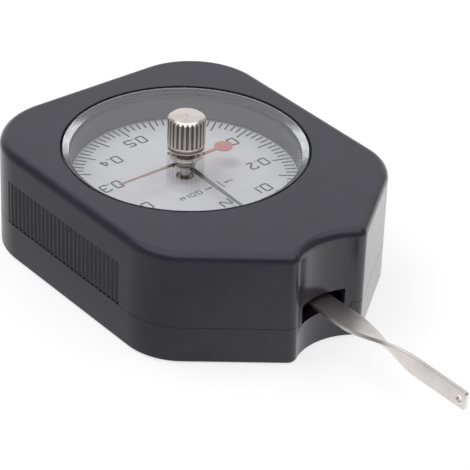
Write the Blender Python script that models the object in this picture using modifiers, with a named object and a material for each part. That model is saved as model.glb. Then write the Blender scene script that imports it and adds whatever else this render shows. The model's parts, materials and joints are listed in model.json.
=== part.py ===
"""Dial tension gauge: a two-part case, a twisted feeler lever, a geared pointer and a reset knob.

Metres, +Z up. The dial faces +Z, the lever points to -Y, and the origin is where the dial's axis
meets the flat underside of the case.
"""

import math

import bmesh
import bpy
from mathutils import Matrix, Vector

# Clearances shared by the whole gauge
GAP = 0.0003
CUT_OVERRUN = 0.002
WELD = 0.0000005
ROUND_SIDES = 48
SMALL_SIDES = 12
FILLET_STEPS = 3
ARC_STEP = math.radians(10.0)
SMOOTH_ANGLE = math.radians(35.0)

# Case plan
SIDE_MARGIN = 0.0051
BACK_MARGIN = 0.0069
SHOULDER_SETBACK = 0.0041
NOTCH_MARGIN = 0.00986
CHEEK_ANGLE = math.radians(37.5)
BACK_RADIUS = 0.0157
SHOULDER_RADIUS = 0.0131
NOTCH_RADIUS = 0.0130
TIP_RADIUS = 0.0020
WALL = 0.0020
TOP_THICKNESS = 0.0024
TOP_FILLET = 0.0018
FOOT_CHAMFER = 0.0005

# Case heights, stacked from the underside up
FLOOR_THICKNESS = 0.0020
POST_HEIGHT = 0.0010
PLATE_THICKNESS = 0.0012
PILLAR_HEIGHT = 0.0079
DIAL_STANDOFF = 0.0012
DIAL_THICKNESS = 0.0005
DIAL_ROOM = 0.0056
LENS_THICKNESS = 0.0022
LENS_RECESS = 0.0001
PARTING_HEIGHT = 0.0079
LIP_HEIGHT = 0.0012
LIP_THICKNESS = 0.0009

# Window, lens and dial
WINDOW_RADIUS = 0.0249
LENS_MARGIN = 0.00055
LENS_EDGE_HEIGHT = 0.00065
LENS_BEVEL = 0.00135
LEDGE_WIDTH = 0.0013
WELL_MARGIN = 0.0024
SEAL_THICKNESS = 0.0005
SEAL_WIDTH = 0.0006
COLLAR_WALL = 0.0025
DIAL_OVERLAP = 0.0020
DIAL_FOOT_RADIUS = 0.0014
DIAL_PIN_RADIUS = 0.0007
DIAL_PIN_LENGTH = 0.0012
DIAL_FOOT_PLACE = (0.0090, 0.0085)

# Case screws and their bosses
BOSS_RADIUS = 0.0032
BOSS_RELIEF = 0.0004
BACK_SCREW_INSET = (0.0084, 0.0084)
FRONT_SCREW_INSET = (0.0055, 0.0039)
SCREW_RADIUS = 0.0010
SCREW_HEAD_RADIUS = 0.0021
SCREW_HEAD_HEIGHT = 0.0013
SCREW_HEAD_DEPTH = 0.0006
SCREW_BITE = 0.0070
CROSS_WIDTH = 0.0006
CROSS_DEPTH = 0.0006

# Ribbed grips on both sides
GRIP_RIBS = 28
GRIP_LENGTH = 0.0373
GRIP_HEIGHT = 0.0095
GROOVE_DEPTH = 0.0003
GROOVE_MOUTH_SHARE = 0.70
GROOVE_ROOT_SHARE = 0.42

# Lever slot
SLOT_WIDTH = 0.0106
SLOT_ABOVE = 0.0008
SLOT_BELOW = 0.0025
SLOT_CHEEK = 0.0011

# Feeler lever
PIVOT_REACH = 0.0320
LEVER_WIDTH = 0.0052
LEVER_TIP_WIDTH = 0.0039
LEVER_THICKNESS = 0.0008
LEVER_TAIL = 0.0060
LEVER_REACH = 0.0503
LEVER_TWIST_START = 0.0185
LEVER_TWIST_END = 0.0385
LEVER_TWIST = math.radians(90.0)
LEVER_TWIST_STEPS = 20
LEVER_CORNER = 0.0008
TIP_HOLE_RADIUS = 0.00065
TIP_HOLE_INSET = 0.0018
RIVET_OFFSET = 0.0030
RIVET_RADIUS = 0.0006
RIVET_HEAD_RADIUS = 0.0010
RIVET_HEAD_HEIGHT = 0.0003
BOSS_DISC_RADIUS = 0.0042
BOSS_DISC_HEIGHT = 0.0008

# Movement plates, pillars and screws
PLATE_BACK = 0.0140
PLATE_MARGIN = 0.0039
PLATE_SHOULDER = 0.0140
PLATE_NOSE = 0.0045
PLATE_NOSE_WIDTH = 0.0250
PLATE_CORNER = 0.0020
PILLAR_RADIUS = 0.0018
PILLAR_SPIGOT_RADIUS = 0.0009
PILLAR_EDGE = 0.0035
PILLAR_SCREW_RADIUS = 0.0006
PILLAR_SCREW_HEAD_RADIUS = 0.0014
PILLAR_SCREW_HEAD_HEIGHT = 0.0006
PILLAR_SCREW_LENGTH = 0.0045
POST_RADIUS = 0.0022
POST_BACK = 0.0110
POST_INSET = 0.0050
POST_FRONT = 0.0140
POST_SCREW_RADIUS = 0.0007
POST_SCREW_HEAD_RADIUS = 0.0015
POST_SCREW_HEAD_HEIGHT = 0.0007
POST_SCREW_BITE = 0.0019
DRIVER_SLOT_WIDTH = 0.0004
DRIVER_SLOT_DEPTH = 0.0003

# Axle of the lever, its bushes and spring
AXLE_RADIUS = 0.0010
AXLE_PIVOT_RADIUS = 0.0007
AXLE_END_FLOAT = 0.0003
BUSH_WALL = 0.0007
BUSH_FLANGE_WIDTH = 0.0008
BUSH_FLANGE_HEIGHT = 0.0004
SPRING_HEIGHT = 0.0010
SPRING_COLLET_RADIUS = 0.0020
SPRING_PITCH = 0.0011
SPRING_TURNS = 3
SPRING_STRIP = 0.00025
SPRING_STUD_RADIUS = 0.0008
SPIRAL_STEPS = 16

# Gear pair: a toothed sector on the lever's axle drives the pointer's pinion
PINION_TEETH = 10
GEAR_RATIO = 15
SECTOR_TEETH_CUT = 13
SECTOR_THICKNESS = 0.0010
SECTOR_LIFT = 0.0021
SECTOR_HUB_RADIUS = 0.0040
SECTOR_WINDOW_SHARES = (0.30, 0.86)
SECTOR_WINDOW_ANGLE_SHARE = 0.52
PINION_OVERHANG = 0.0007
ADDENDUM_SHARE = 0.85
DEDENDUM_SHARE = 1.20
TOOTH_ROOT_SHARE = 0.24
TOOTH_PITCH_SHARE = 0.17
TOOTH_TIP_SHARE = 0.08
SWING = math.radians(12.0)
STOP_PIN_RADIUS = 0.0008
STOP_PIN_REACH = 0.0200

# Pointer shaft, hairspring and main pointer
SHAFT_RADIUS = 0.0008
SHAFT_PIVOT_RADIUS = 0.0005
HAIRSPRING_LIFT = 0.0050
HAIRSPRING_HEIGHT = 0.0008
HAIRSPRING_COLLET_RADIUS = 0.0016
HAIRSPRING_PITCH = 0.0011
HAIRSPRING_TURNS = 4
HAIRSPRING_STRIP = 0.00018
HAIRSPRING_STUD_RADIUS = 0.0008
BUSH_NOSE = 0.0008
POINTER_HUB_RADIUS = 0.0016
POINTER_SLEEVE_RADIUS = 0.0011
POINTER_HUB_FLANGE = 0.00025
POINTER_THICKNESS = 0.0003
POINTER_LENGTH = 0.0200
POINTER_TAIL = 0.0055
POINTER_ROOT_WIDTH = 0.0011
POINTER_TIP_WIDTH = 0.0005
POINTER_EYE_WALL = 0.0006
POINTER_HEADING = math.radians(-92.3)

# Knob, its spindle through the lens, and the drag pointer
KNOB_RADIUS = 0.00375
KNOB_FLANGE_RADIUS = 0.00385
KNOB_FLANGE_HEIGHT = 0.00025
KNOB_NECK_DEPTH = 0.0004
KNOB_NECK_HEIGHT = 0.0002
KNOB_HEIGHT = 0.0067
KNOB_CHAMFER = 0.00015
KNOB_CROWN_WIDTH = 0.0007
KNOB_CROWN_HEIGHT = 0.00045
KNOB_FLUTES = 24
FLUTE_RADIUS = 0.00026
FLUTE_DEPTH = 0.0003
SPINDLE_RADIUS = 0.00075
SPINDLE_SOCKET = 0.0040
BUSH_HEAD_HEIGHT = 0.0005
BUSH_HEAD_RADIUS = 0.0025
SPINDLE_BUSH_WALL = 0.00045
NUT_RADIUS = 0.0033
NUT_HEIGHT = 0.0009
BUSH_TAIL = 0.0001
DRAG_FLANGE_RADIUS = 0.0024
DRAG_FLANGE_HEIGHT = 0.0002
DRAG_SLEEVE_WALL = 0.0004
DRAG_EYE_WALL = 0.0005
DRAG_SLEEVE_TAIL = 0.0002
DRAG_THICKNESS = 0.0002
DRAG_LENGTH = 0.0161
DRAG_ROOT_WIDTH = 0.0008
DRAG_TIP_WIDTH = 0.0004
DRAG_DISC_RADIUS = 0.0019
DRAG_DISC_REACH = 0.0095
DRAG_HEADING = math.radians(180.0)
DRAG_TAB_REACH = 0.0030
DRAG_TAB_WIDTH = 0.0006

# Heights that follow from the stack
POST_TOP = FLOOR_THICKNESS + POST_HEIGHT
REAR_PLATE_BOTTOM = POST_TOP + GAP
REAR_PLATE_TOP = REAR_PLATE_BOTTOM + PLATE_THICKNESS
PILLAR_BOTTOM = REAR_PLATE_TOP + GAP
PILLAR_TOP = PILLAR_BOTTOM + PILLAR_HEIGHT
FRONT_PLATE_BOTTOM = PILLAR_TOP + GAP
FRONT_PLATE_TOP = FRONT_PLATE_BOTTOM + PLATE_THICKNESS
DIAL_BOTTOM = FRONT_PLATE_TOP + DIAL_STANDOFF
DIAL_TOP = DIAL_BOTTOM + DIAL_THICKNESS
LENS_BOTTOM = DIAL_TOP + DIAL_ROOM
LENS_TOP = LENS_BOTTOM + LENS_THICKNESS
BODY_HEIGHT = LENS_TOP + LENS_RECESS
SEAL_TOP = LENS_BOTTOM - GAP
SEAL_BOTTOM = SEAL_TOP - SEAL_THICKNESS
LEDGE_HEIGHT = SEAL_BOTTOM - GAP
SECTOR_BOTTOM = REAR_PLATE_TOP + SECTOR_LIFT
SECTOR_TOP = SECTOR_BOTTOM + SECTOR_THICKNESS
BOSS_DISC_BOTTOM = SECTOR_TOP + BOSS_DISC_HEIGHT
LEVER_BOTTOM = BOSS_DISC_BOTTOM + BOSS_DISC_HEIGHT + GAP
LEVER_MIDDLE = LEVER_BOTTOM + LEVER_THICKNESS / 2
LEVER_TOP = LEVER_BOTTOM + LEVER_THICKNESS
RIVET_TOP = LEVER_TOP + GAP + RIVET_HEAD_HEIGHT
SPRING_BOTTOM = RIVET_TOP + GAP
SPRING_TOP = SPRING_BOTTOM + SPRING_HEIGHT
SLOT_TOP = LEVER_TOP + SLOT_ABOVE
SLOT_BOTTOM = LEVER_BOTTOM - SLOT_BELOW
HAIRSPRING_BOTTOM = REAR_PLATE_TOP + HAIRSPRING_LIFT
HAIRSPRING_TOP = HAIRSPRING_BOTTOM + HAIRSPRING_HEIGHT
NUT_TOP = LENS_BOTTOM - GAP
NUT_BOTTOM = NUT_TOP - NUT_HEIGHT
SPINDLE_BUSH_BOTTOM = NUT_BOTTOM - BUSH_TAIL
DRAG_FLANGE_TOP = SPINDLE_BUSH_BOTTOM - GAP
DRAG_FLANGE_BOTTOM = DRAG_FLANGE_TOP - DRAG_FLANGE_HEIGHT
DRAG_TOP = DRAG_FLANGE_BOTTOM - GAP
DRAG_BOTTOM = DRAG_TOP - DRAG_THICKNESS
SPINDLE_BOTTOM = DRAG_BOTTOM - DRAG_SLEEVE_TAIL
POINTER_HUB_TOP = SPINDLE_BOTTOM - GAP
POINTER_TOP = POINTER_HUB_TOP - GAP / 2
POINTER_BOTTOM = POINTER_TOP - POINTER_THICKNESS
POINTER_FLANGE_TOP = POINTER_BOTTOM - GAP
KNOB_BOTTOM = LENS_TOP + GAP

# Places that follow from the plan
BODY_WIDTH = 2 * (WINDOW_RADIUS + SIDE_MARGIN)
BACK_REACH = WINDOW_RADIUS + BACK_MARGIN
SHOULDER_REACH = PIVOT_REACH - SHOULDER_SETBACK
NOTCH_REACH = PIVOT_REACH + NOTCH_MARGIN
PLATE_SIDE = WINDOW_RADIUS - PLATE_MARGIN
LENS_RADIUS = WINDOW_RADIUS - LENS_MARGIN
LEDGE_RADIUS = WINDOW_RADIUS - LEDGE_WIDTH
WELL_RADIUS = WINDOW_RADIUS - WELL_MARGIN
DIAL_RADIUS = LEDGE_RADIUS + DIAL_OVERLAP
PIVOT = (0.0, -PIVOT_REACH)
MODULE = 2 * PIVOT_REACH / (PINION_TEETH * (1 + GEAR_RATIO))
PINION_RADIUS = MODULE * PINION_TEETH / 2
SECTOR_RADIUS = MODULE * PINION_TEETH * GEAR_RATIO / 2
SCREW_PLACES = [
    (side * (BODY_WIDTH / 2 - inset[0]), reach)
    for side in (-1, 1)
    for inset, reach in (
        (BACK_SCREW_INSET, BACK_REACH - BACK_SCREW_INSET[1]),
        (FRONT_SCREW_INSET, FRONT_SCREW_INSET[1] - SHOULDER_REACH),
    )
]
POST_PLACES = [(0.0, POST_BACK)] + [(side * (PLATE_SIDE - POST_INSET), -POST_FRONT) for side in (-1, 1)]
PILLAR_PLACES = [
    (side * (PLATE_SIDE - PILLAR_EDGE), PLATE_BACK - PILLAR_EDGE) for side in (-1, 1)
] + [
    (side * (PLATE_NOSE_WIDTH / 2 - PILLAR_EDGE / 2), -PIVOT_REACH + PILLAR_EDGE / 2) for side in (-1, 1)
]
SPRING_STUD_PLACE = (
    -SPRING_COLLET_RADIUS - GAP * 2 - SPRING_PITCH * SPRING_TURNS - SPRING_STUD_RADIUS,
    -PIVOT_REACH,
)
HAIRSPRING_STUD_PLACE = (
    0.0,
    HAIRSPRING_COLLET_RADIUS + GAP * 2 + HAIRSPRING_PITCH * HAIRSPRING_TURNS + HAIRSPRING_STUD_RADIUS,
)
DIAL_FOOT_PLACES = [(side * DIAL_FOOT_PLACE[0], DIAL_FOOT_PLACE[1]) for side in (-1, 1)]

# Colour, roughness and metallic value of each material
FINISHES = {
    "case_plastic": ((0.075, 0.075, 0.082), 0.45, 0.0),
    "clear_acrylic": ((0.90, 0.92, 0.94), 0.05, 0.0),
    "seal_rubber": ((0.03, 0.03, 0.03), 0.80, 0.0),
    "dial_silver": ((0.72, 0.72, 0.75), 0.45, 0.2),
    "brass": ((0.72, 0.55, 0.28), 0.35, 1.0),
    "steel": ((0.62, 0.62, 0.63), 0.30, 1.0),
    "nickel": ((0.74, 0.71, 0.66), 0.22, 1.0),
    "screw_black": ((0.05, 0.05, 0.055), 0.40, 1.0),
    "spring_bronze": ((0.60, 0.42, 0.26), 0.35, 1.0),
    "pointer_black": ((0.02, 0.02, 0.02), 0.40, 0.0),
    "pointer_red": ((0.60, 0.05, 0.05), 0.40, 0.0),
}


# Scene and materials

def empty_scene():
    for thing in list(bpy.data.objects):
        bpy.data.objects.remove(thing, do_unlink=True)


def new_collection(name, hidden=False):
    group = bpy.data.collections.new(name)
    bpy.context.scene.collection.children.link(group)
    group.hide_render = hidden
    return group


def new_material(name):
    colour, roughness, metallic = FINISHES[name]
    material = bpy.data.materials.new(name)
    material.use_nodes = True
    shader = material.node_tree.nodes["Principled BSDF"]
    shader.inputs["Base Color"].default_value = (*colour, 1.0)
    shader.inputs["Roughness"].default_value = roughness
    shader.inputs["Metallic"].default_value = metallic
    material.diffuse_color = (*colour, 1.0)
    return material


def crisp_edges():
    """A node group that shades a mesh smooth, except across edges sharper than the smoothing angle."""
    group = bpy.data.node_groups.new("crisp_edges", "GeometryNodeTree")
    group.interface.new_socket("Geometry", in_out="INPUT", socket_type="NodeSocketGeometry")
    group.interface.new_socket("Geometry", in_out="OUTPUT", socket_type="NodeSocketGeometry")
    nodes, links = group.nodes, group.links
    source = nodes.new("NodeGroupInput")
    result = nodes.new("NodeGroupOutput")
    faces = nodes.new("GeometryNodeSetShadeSmooth")
    faces.domain = "FACE"
    edges = nodes.new("GeometryNodeSetShadeSmooth")
    edges.domain = "EDGE"
    bend = nodes.new("GeometryNodeInputMeshEdgeAngle")
    gentle = nodes.new("FunctionNodeCompare")
    gentle.operation = "LESS_EQUAL"
    gentle.inputs["B"].default_value = SMOOTH_ANGLE
    links.new(source.outputs["Geometry"], faces.inputs["Geometry"])
    links.new(faces.outputs["Geometry"], edges.inputs["Geometry"])
    links.new(bend.outputs["Unsigned Angle"], gentle.inputs["A"])
    links.new(gentle.outputs["Result"], edges.inputs["Shade Smooth"])
    links.new(edges.outputs["Geometry"], result.inputs["Geometry"])
    return group


empty_scene()
PARTS = new_collection("dial_tension_gauge")
CUTTERS = new_collection("cutters", hidden=True)
CRISP_EDGES = crisp_edges()


# Makers of single shapes

def mesh_object(name, mesh, place=(0.0, 0.0, 0.0)):
    """An object in the parts collection, with its origin at the given place."""
    thing = bpy.data.objects.new(name, mesh)
    thing.location = place
    PARTS.objects.link(thing)
    return thing


def as_mesh(source):
    """The evaluated shape of an object, as a mesh object of the same name that takes its place."""
    bpy.context.view_layer.update()
    graph = bpy.context.evaluated_depsgraph_get()
    mesh = bpy.data.meshes.new_from_object(source.evaluated_get(graph), depsgraph=graph)
    place = source.matrix_world.copy()
    name = source.name
    bpy.data.objects.remove(source, do_unlink=True)
    work = bmesh.new()
    work.from_mesh(mesh)
    bmesh.ops.remove_doubles(work, verts=work.verts, dist=WELD)
    bmesh.ops.recalc_face_normals(work, faces=work.faces)
    work.to_mesh(mesh)
    work.free()
    thing = mesh_object(name, mesh)
    thing.matrix_world = place
    return thing


def flat_solid(name, loops, bottom, top, at=(0.0, 0.0), fillet=0.0):
    """A plate between two heights whose outline and holes are closed loops of points round at.

    A fillet rounds both rims, and stands out round the loops by its radius.
    """
    curve = bpy.data.curves.new(name, "CURVE")
    curve.dimensions = "2D"
    curve.fill_mode = "BOTH"
    curve.extrude = (top - bottom) / 2 - fillet
    curve.bevel_depth = fillet
    curve.bevel_resolution = FILLET_STEPS
    for loop in loops:
        spline = curve.splines.new("POLY")
        spline.points.add(len(loop) - 1)
        for point, (x, y) in zip(spline.points, loop):
            point.co = (x, y, 0, 1)
        spline.use_cyclic_u = True
    thing = mesh_object(name, curve, (at[0], at[1], (bottom + top) / 2))
    return as_mesh(thing)


def round_bars(name, bars, at=(0.0, 0.0), sides=SMALL_SIDES):
    """Upright cylinders in one object; each bar is radius, bottom, top and its place round at."""
    work = bmesh.new()
    for radius, bottom, top, (x, y) in bars:
        spot = Matrix.Translation((x, y, (bottom + top) / 2))
        bmesh.ops.create_cone(work, cap_ends=True, segments=sides, radius1=radius, radius2=radius,
                              depth=top - bottom, matrix=spot)
    mesh = bpy.data.meshes.new(name)
    work.to_mesh(mesh)
    work.free()
    return mesh_object(name, mesh, (at[0], at[1], 0.0))


def blocks(name, boxes):
    """Boxes in one object; each is its lowest and its highest corner."""
    work = bmesh.new()
    for low, high in boxes:
        low, high = Vector(low), Vector(high)
        spot = Matrix.Translation((low + high) / 2) @ Matrix.Diagonal((*(high - low), 1))
        bmesh.ops.create_cube(work, size=1, matrix=spot)
    mesh = bpy.data.meshes.new(name)
    work.to_mesh(mesh)
    work.free()
    return mesh_object(name, mesh)


def turned(name, profile, at=(0.0, 0.0), steps=SMALL_SIDES):
    """A lathe shape: the profile of radius and height runs down its outer side, top to bottom."""
    mesh = bpy.data.meshes.new(name)
    edges = [(i, i + 1) for i in range(len(profile) - 1)]
    if profile[0][0] or profile[-1][0]:
        edges.append((len(profile) - 1, 0))
    mesh.from_pydata([(radius, 0.0, height) for radius, height in profile], edges, [])
    thing = mesh_object(name, mesh, (at[0], at[1], 0.0))
    screw = thing.modifiers.new("lathe", "SCREW")
    screw.steps = steps
    screw.render_steps = steps
    screw.use_merge_vertices = True
    screw.merge_threshold = WELD
    return as_mesh(thing)


def ribbon(name, points, bottom, top, thickness, at=(0.0, 0.0)):
    """A flat spring strip that stands on edge along a path of points round at."""
    curve = bpy.data.curves.new(name, "CURVE")
    curve.dimensions = "2D"
    curve.fill_mode = "NONE"
    curve.extrude = (top - bottom) / 2
    spline = curve.splines.new("POLY")
    spline.points.add(len(points) - 1)
    for point, (x, y) in zip(spline.points, points):
        point.co = (x, y, 0, 1)
    thing = mesh_object(name, curve, (at[0], at[1], (bottom + top) / 2))
    thing = as_mesh(thing)
    shell = thing.modifiers.new("strip", "SOLIDIFY")
    shell.thickness = thickness
    shell.offset = 0.0
    return thing


def boolean(thing, operation, tool):
    """Cut or join another object, which goes to the cutters."""
    change = thing.modifiers.new(operation.lower(), "BOOLEAN")
    change.operation = operation
    change.solver = "EXACT"
    change.object = tool
    PARTS.objects.unlink(tool)
    CUTTERS.objects.link(tool)
    tool.display_type = "WIRE"
    tool.hide_render = True
    return thing


def cut(thing, tool):
    return boolean(thing, "DIFFERENCE", tool)


def join(thing, tool):
    return boolean(thing, "UNION", tool)


def finish(thing, material):
    """Give a piece its material, and smooth shading with crisp edges and even flat faces."""
    thing.data.materials.clear()
    thing.data.materials.append(material)
    shading = thing.modifiers.new("crisp_edges", "NODES")
    shading.node_group = CRISP_EDGES
    normals = thing.modifiers.new("even_faces", "WEIGHTED_NORMAL")
    normals.keep_sharp = True
    return thing


def copies(name, unit, places, material):
    """Numbered copies of one small piece at several places, which share its mesh."""
    unit = as_mesh(finish(unit, material))
    for number, (x, y) in enumerate(places, 1):
        mesh_object(f"{name}_{number}", unit.data, (x, y, unit.location.z))
    bpy.data.objects.remove(unit, do_unlink=True)


# Outlines

def arc(centre, radius, start, end):
    """Points along an arc, both ends included."""
    count = max(2, math.ceil(abs(end - start) / ARC_STEP))
    angles = [start + (end - start) * i / count for i in range(count + 1)]
    return [(centre[0] + radius * math.cos(a), centre[1] + radius * math.sin(a)) for a in angles]


def circle(radius, sides=ROUND_SIDES, at=(0.0, 0.0)):
    turns = [2 * math.pi * i / sides for i in range(sides)]
    return [(at[0] + radius * math.cos(a), at[1] + radius * math.sin(a)) for a in turns]


def mirrored(half):
    """A closed loop from its right half; points on the middle line aren't repeated."""
    return half + [(-x, y) for x, y in reversed(half) if x > WELD]


def case_outline(inset=0.0):
    """The plan of the case, moved inwards by inset: straight back, two cheeks and a round notch."""
    along = Vector((-math.cos(CHEEK_ANGLE), -math.sin(CHEEK_ANGLE)))
    inward = Vector((-math.sin(CHEEK_ANGLE), math.cos(CHEEK_ANGLE)))
    shoulder = Vector((BODY_WIDTH / 2, -SHOULDER_REACH))
    notch_centre = Vector((0.0, -NOTCH_REACH - NOTCH_RADIUS))
    notch_radius = NOTCH_RADIUS + inset
    tip_radius = max(TIP_RADIUS - inset, 0.0)
    reach = notch_radius + tip_radius
    start = shoulder + inward * (inset + tip_radius) - notch_centre
    middle = start.dot(along)
    travel = -middle - math.sqrt(max(middle ** 2 - start.length_squared + reach ** 2, 0.0))
    tip_centre = notch_centre + start + along * travel
    to_tip = tip_centre - notch_centre
    tip_angle = math.atan2(to_tip.y, to_tip.x)
    half = arc(notch_centre, notch_radius, math.pi / 2, tip_angle)
    if tip_radius:
        half += arc(tip_centre, tip_radius, tip_angle - math.pi, CHEEK_ANGLE - math.pi / 2)[1:]
    turn = math.pi / 2 - CHEEK_ANGLE
    tangent = SHOULDER_RADIUS * math.tan(turn / 2)
    shoulder_centre = (BODY_WIDTH / 2 - SHOULDER_RADIUS, tangent - SHOULDER_REACH)
    half += arc(shoulder_centre, SHOULDER_RADIUS - inset, -turn, 0.0)
    back_centre = (BODY_WIDTH / 2 - BACK_RADIUS, BACK_REACH - BACK_RADIUS)
    half += arc(back_centre, BACK_RADIUS - inset, 0.0, math.pi / 2)
    return mirrored(half)


def plate_outline():
    """The plan of a movement plate: wide round the dial's axis and narrow at the lever's axle."""
    nose = PIVOT_REACH + PLATE_NOSE
    half_nose = PLATE_NOSE_WIDTH / 2
    half = [
        (half_nose - PLATE_CORNER, -nose),
        (half_nose, PLATE_CORNER - nose),
        (PLATE_SIDE, -PLATE_SHOULDER),
        (PLATE_SIDE, PLATE_BACK - PLATE_CORNER),
        (PLATE_SIDE - PLATE_CORNER, PLATE_BACK),
    ]
    return mirrored(half)


def polar(radius, angle):
    """A point at a radius and an angle that is counted from +Y towards +X."""
    return (radius * math.sin(angle), radius * math.cos(angle))


def tooth(middle, pitch, root, mean, tip):
    """The outline of one tooth, from its root on one side to its root on the other."""
    flank = ((root, TOOTH_ROOT_SHARE), (mean, TOOTH_PITCH_SHARE), (tip, TOOTH_TIP_SHARE))
    rising = [polar(radius, middle - share * pitch) for radius, share in flank]
    falling = [polar(radius, middle + share * pitch) for radius, share in reversed(flank)]
    return rising + falling


def sector_outline():
    """The sector's plan round the lever's axle: a hub, two straight arms and a toothed rim."""
    pitch = 2 * math.pi / (PINION_TEETH * GEAR_RATIO)
    half_angle = pitch * SECTOR_TEETH_CUT / 2
    root = SECTOR_RADIUS - DEDENDUM_SHARE * MODULE
    tip = SECTOR_RADIUS + ADDENDUM_SHARE * MODULE
    points = [polar(root, -half_angle)]
    for i in range(SECTOR_TEETH_CUT):
        points += tooth((i - (SECTOR_TEETH_CUT - 1) / 2) * pitch, pitch, root, SECTOR_RADIUS, tip)
    points.append(polar(root, half_angle))
    hub = [math.radians(60 + 30 * i) for i in range(9)]
    return points + [polar(SECTOR_HUB_RADIUS, angle) for angle in hub]


def sector_window():
    """The lightening hole between the sector's arms."""
    half_angle = math.pi / (PINION_TEETH * GEAR_RATIO) * SECTOR_TEETH_CUT * SECTOR_WINDOW_ANGLE_SHARE
    near, far = (share * SECTOR_RADIUS for share in SECTOR_WINDOW_SHARES)
    return [polar(near, -half_angle), polar(far, -half_angle), polar(far, 0.0),
            polar(far, half_angle), polar(near, half_angle)]


def pinion_outline():
    """The pinion's plan, with a gap between two teeth turned to the sector."""
    pitch = 2 * math.pi / PINION_TEETH
    root = PINION_RADIUS - DEDENDUM_SHARE * MODULE
    tip = PINION_RADIUS + ADDENDUM_SHARE * MODULE
    points = []
    for i in range(PINION_TEETH):
        points += tooth(math.pi + (i + 0.5) * pitch, pitch, root, PINION_RADIUS, tip)
    return points


def spiral(inner, pitch, turns, start, direction=1):
    """Points of a flat spiral that grows outwards from an inner radius."""
    count = turns * SPIRAL_STEPS
    points = []
    for i in range(count + 1):
        angle = start + direction * 2 * math.pi * i / SPIRAL_STEPS
        radius = inner + pitch * i / SPIRAL_STEPS
        points.append((radius * math.cos(angle), radius * math.sin(angle)))
    return points


def blade(root_width, tip_width, start, length):
    """A tapering pointer blade along +X, from start to length."""
    root, tip = root_width / 2, tip_width / 2
    return [(start, -root), (length, -tip), (length, tip), (start, root)]


# The case

def chamfer_rim(thing, height, width):
    """Chamfer the rim of a prism at one height with a Bevel modifier."""
    mesh = thing.data
    weights = mesh.attributes.new("bevel_weight_edge", "FLOAT", "EDGE")
    level = height - thing.location.z
    for edge in mesh.edges:
        ends = [mesh.vertices[i] for i in edge.vertices]
        on_rim = all(abs(end.co.z - level) < GAP for end in ends)
        sides = [face for face in mesh.polygons if edge.key in face.edge_keys] if on_rim else []
        walls = [face for face in sides if abs(face.normal.z) < 0.5]
        weights.data[edge.index].value = 1.0 if on_rim and walls else 0.0
    bevel = thing.modifiers.new("rim", "BEVEL")
    bevel.limit_method = "WEIGHT"
    bevel.width = width
    bevel.segments = 1
    bevel.use_clamp_overlap = False


def below_parting(bottom):
    """The space under the front shell, except the tongue that holds the lever slot."""
    reach = BODY_WIDTH
    half_tongue = SLOT_WIDTH / 2 + SLOT_CHEEK
    tongue_back = -NOTCH_REACH + WALL * 2
    loop = [(-reach, -reach), (-half_tongue, -reach), (-half_tongue, tongue_back), (half_tongue, tongue_back),
            (half_tongue, -reach), (reach, -reach), (reach, reach), (-reach, reach)]
    return flat_solid("cut_below_parting", [loop], bottom, PARTING_HEIGHT + GAP / 2)


def grip_grooves():
    """The grooves between the ribs on both sides, open at the parting line."""
    pitch = GRIP_LENGTH / GRIP_RIBS
    side = BODY_WIDTH / 2
    loops = []
    for sign in (-1, 1):
        for i in range(GRIP_RIBS):
            y = (i + 0.5) * pitch - GRIP_LENGTH / 2
            mouth = pitch * GROOVE_MOUTH_SHARE / 2
            root = pitch * GROOVE_ROOT_SHARE / 2
            slope = (mouth - root) / GROOVE_DEPTH
            outer = mouth + slope * GAP
            loops.append([(sign * (side + GAP), y - outer), (sign * (side + GAP), y + outer),
                          (sign * (side - GROOVE_DEPTH), y + root), (sign * (side - GROOVE_DEPTH), y - root)])
    return flat_solid("cut_grip_grooves", loops, PARTING_HEIGHT - CUT_OVERRUN, PARTING_HEIGHT + GRIP_HEIGHT)


def front_case(material):
    base = min(SLOT_BOTTOM, PARTING_HEIGHT) + GAP / 2
    low = base - TOP_FILLET - CUT_OVERRUN
    thing = flat_solid("front_case", [case_outline(TOP_FILLET)], low, BODY_HEIGHT, fillet=TOP_FILLET)
    cut(thing, below_parting(low - CUT_OVERRUN))
    reach = BODY_WIDTH
    cut(thing, blocks("cut_below_tongue", [((-reach, -reach, low - CUT_OVERRUN), (reach, reach, base))]))
    cavity_top = BODY_HEIGHT - TOP_THICKNESS
    cut(thing, flat_solid("cut_front_cavity", [case_outline(WALL)], base - CUT_OVERRUN, cavity_top))
    rebate_top = PARTING_HEIGHT + LIP_HEIGHT + GAP
    rebate = case_outline(WALL - LIP_THICKNESS - GAP)
    cut(thing, flat_solid("cut_lip_rebate", [rebate], -CUT_OVERRUN, rebate_top))
    collar = (LEDGE_RADIUS + COLLAR_WALL, DIAL_TOP + GAP, BODY_HEIGHT - TOP_THICKNESS / 2, (0.0, 0.0))
    join(thing, round_bars("add_collar", [collar], sides=ROUND_SIDES))
    bosses = [(BOSS_RADIUS, rebate_top + GAP, BODY_HEIGHT - TOP_THICKNESS / 2, place)
              for place in SCREW_PLACES]
    join(thing, round_bars("add_front_bosses", bosses))
    window = (WINDOW_RADIUS, LEDGE_HEIGHT, BODY_HEIGHT + CUT_OVERRUN, (0.0, 0.0))
    cut(thing, round_bars("cut_window", [window], sides=ROUND_SIDES))
    well = (WELL_RADIUS, DIAL_TOP - CUT_OVERRUN, BODY_HEIGHT + CUT_OVERRUN, (0.0, 0.0))
    cut(thing, round_bars("cut_dial_well", [well], sides=ROUND_SIDES))
    pilot_top = rebate_top + SCREW_BITE + GAP
    pilots = [(SCREW_RADIUS + GAP, -CUT_OVERRUN, pilot_top, place) for place in SCREW_PLACES]
    cut(thing, round_bars("cut_pilots", pilots))
    slot = ((-SLOT_WIDTH / 2, -BODY_WIDTH, SLOT_BOTTOM - CUT_OVERRUN),
            (SLOT_WIDTH / 2, -NOTCH_REACH + WALL * 2, SLOT_TOP))
    cut(thing, blocks("cut_slot", [slot]))
    cut(thing, grip_grooves())
    return finish(thing, material)


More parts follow.
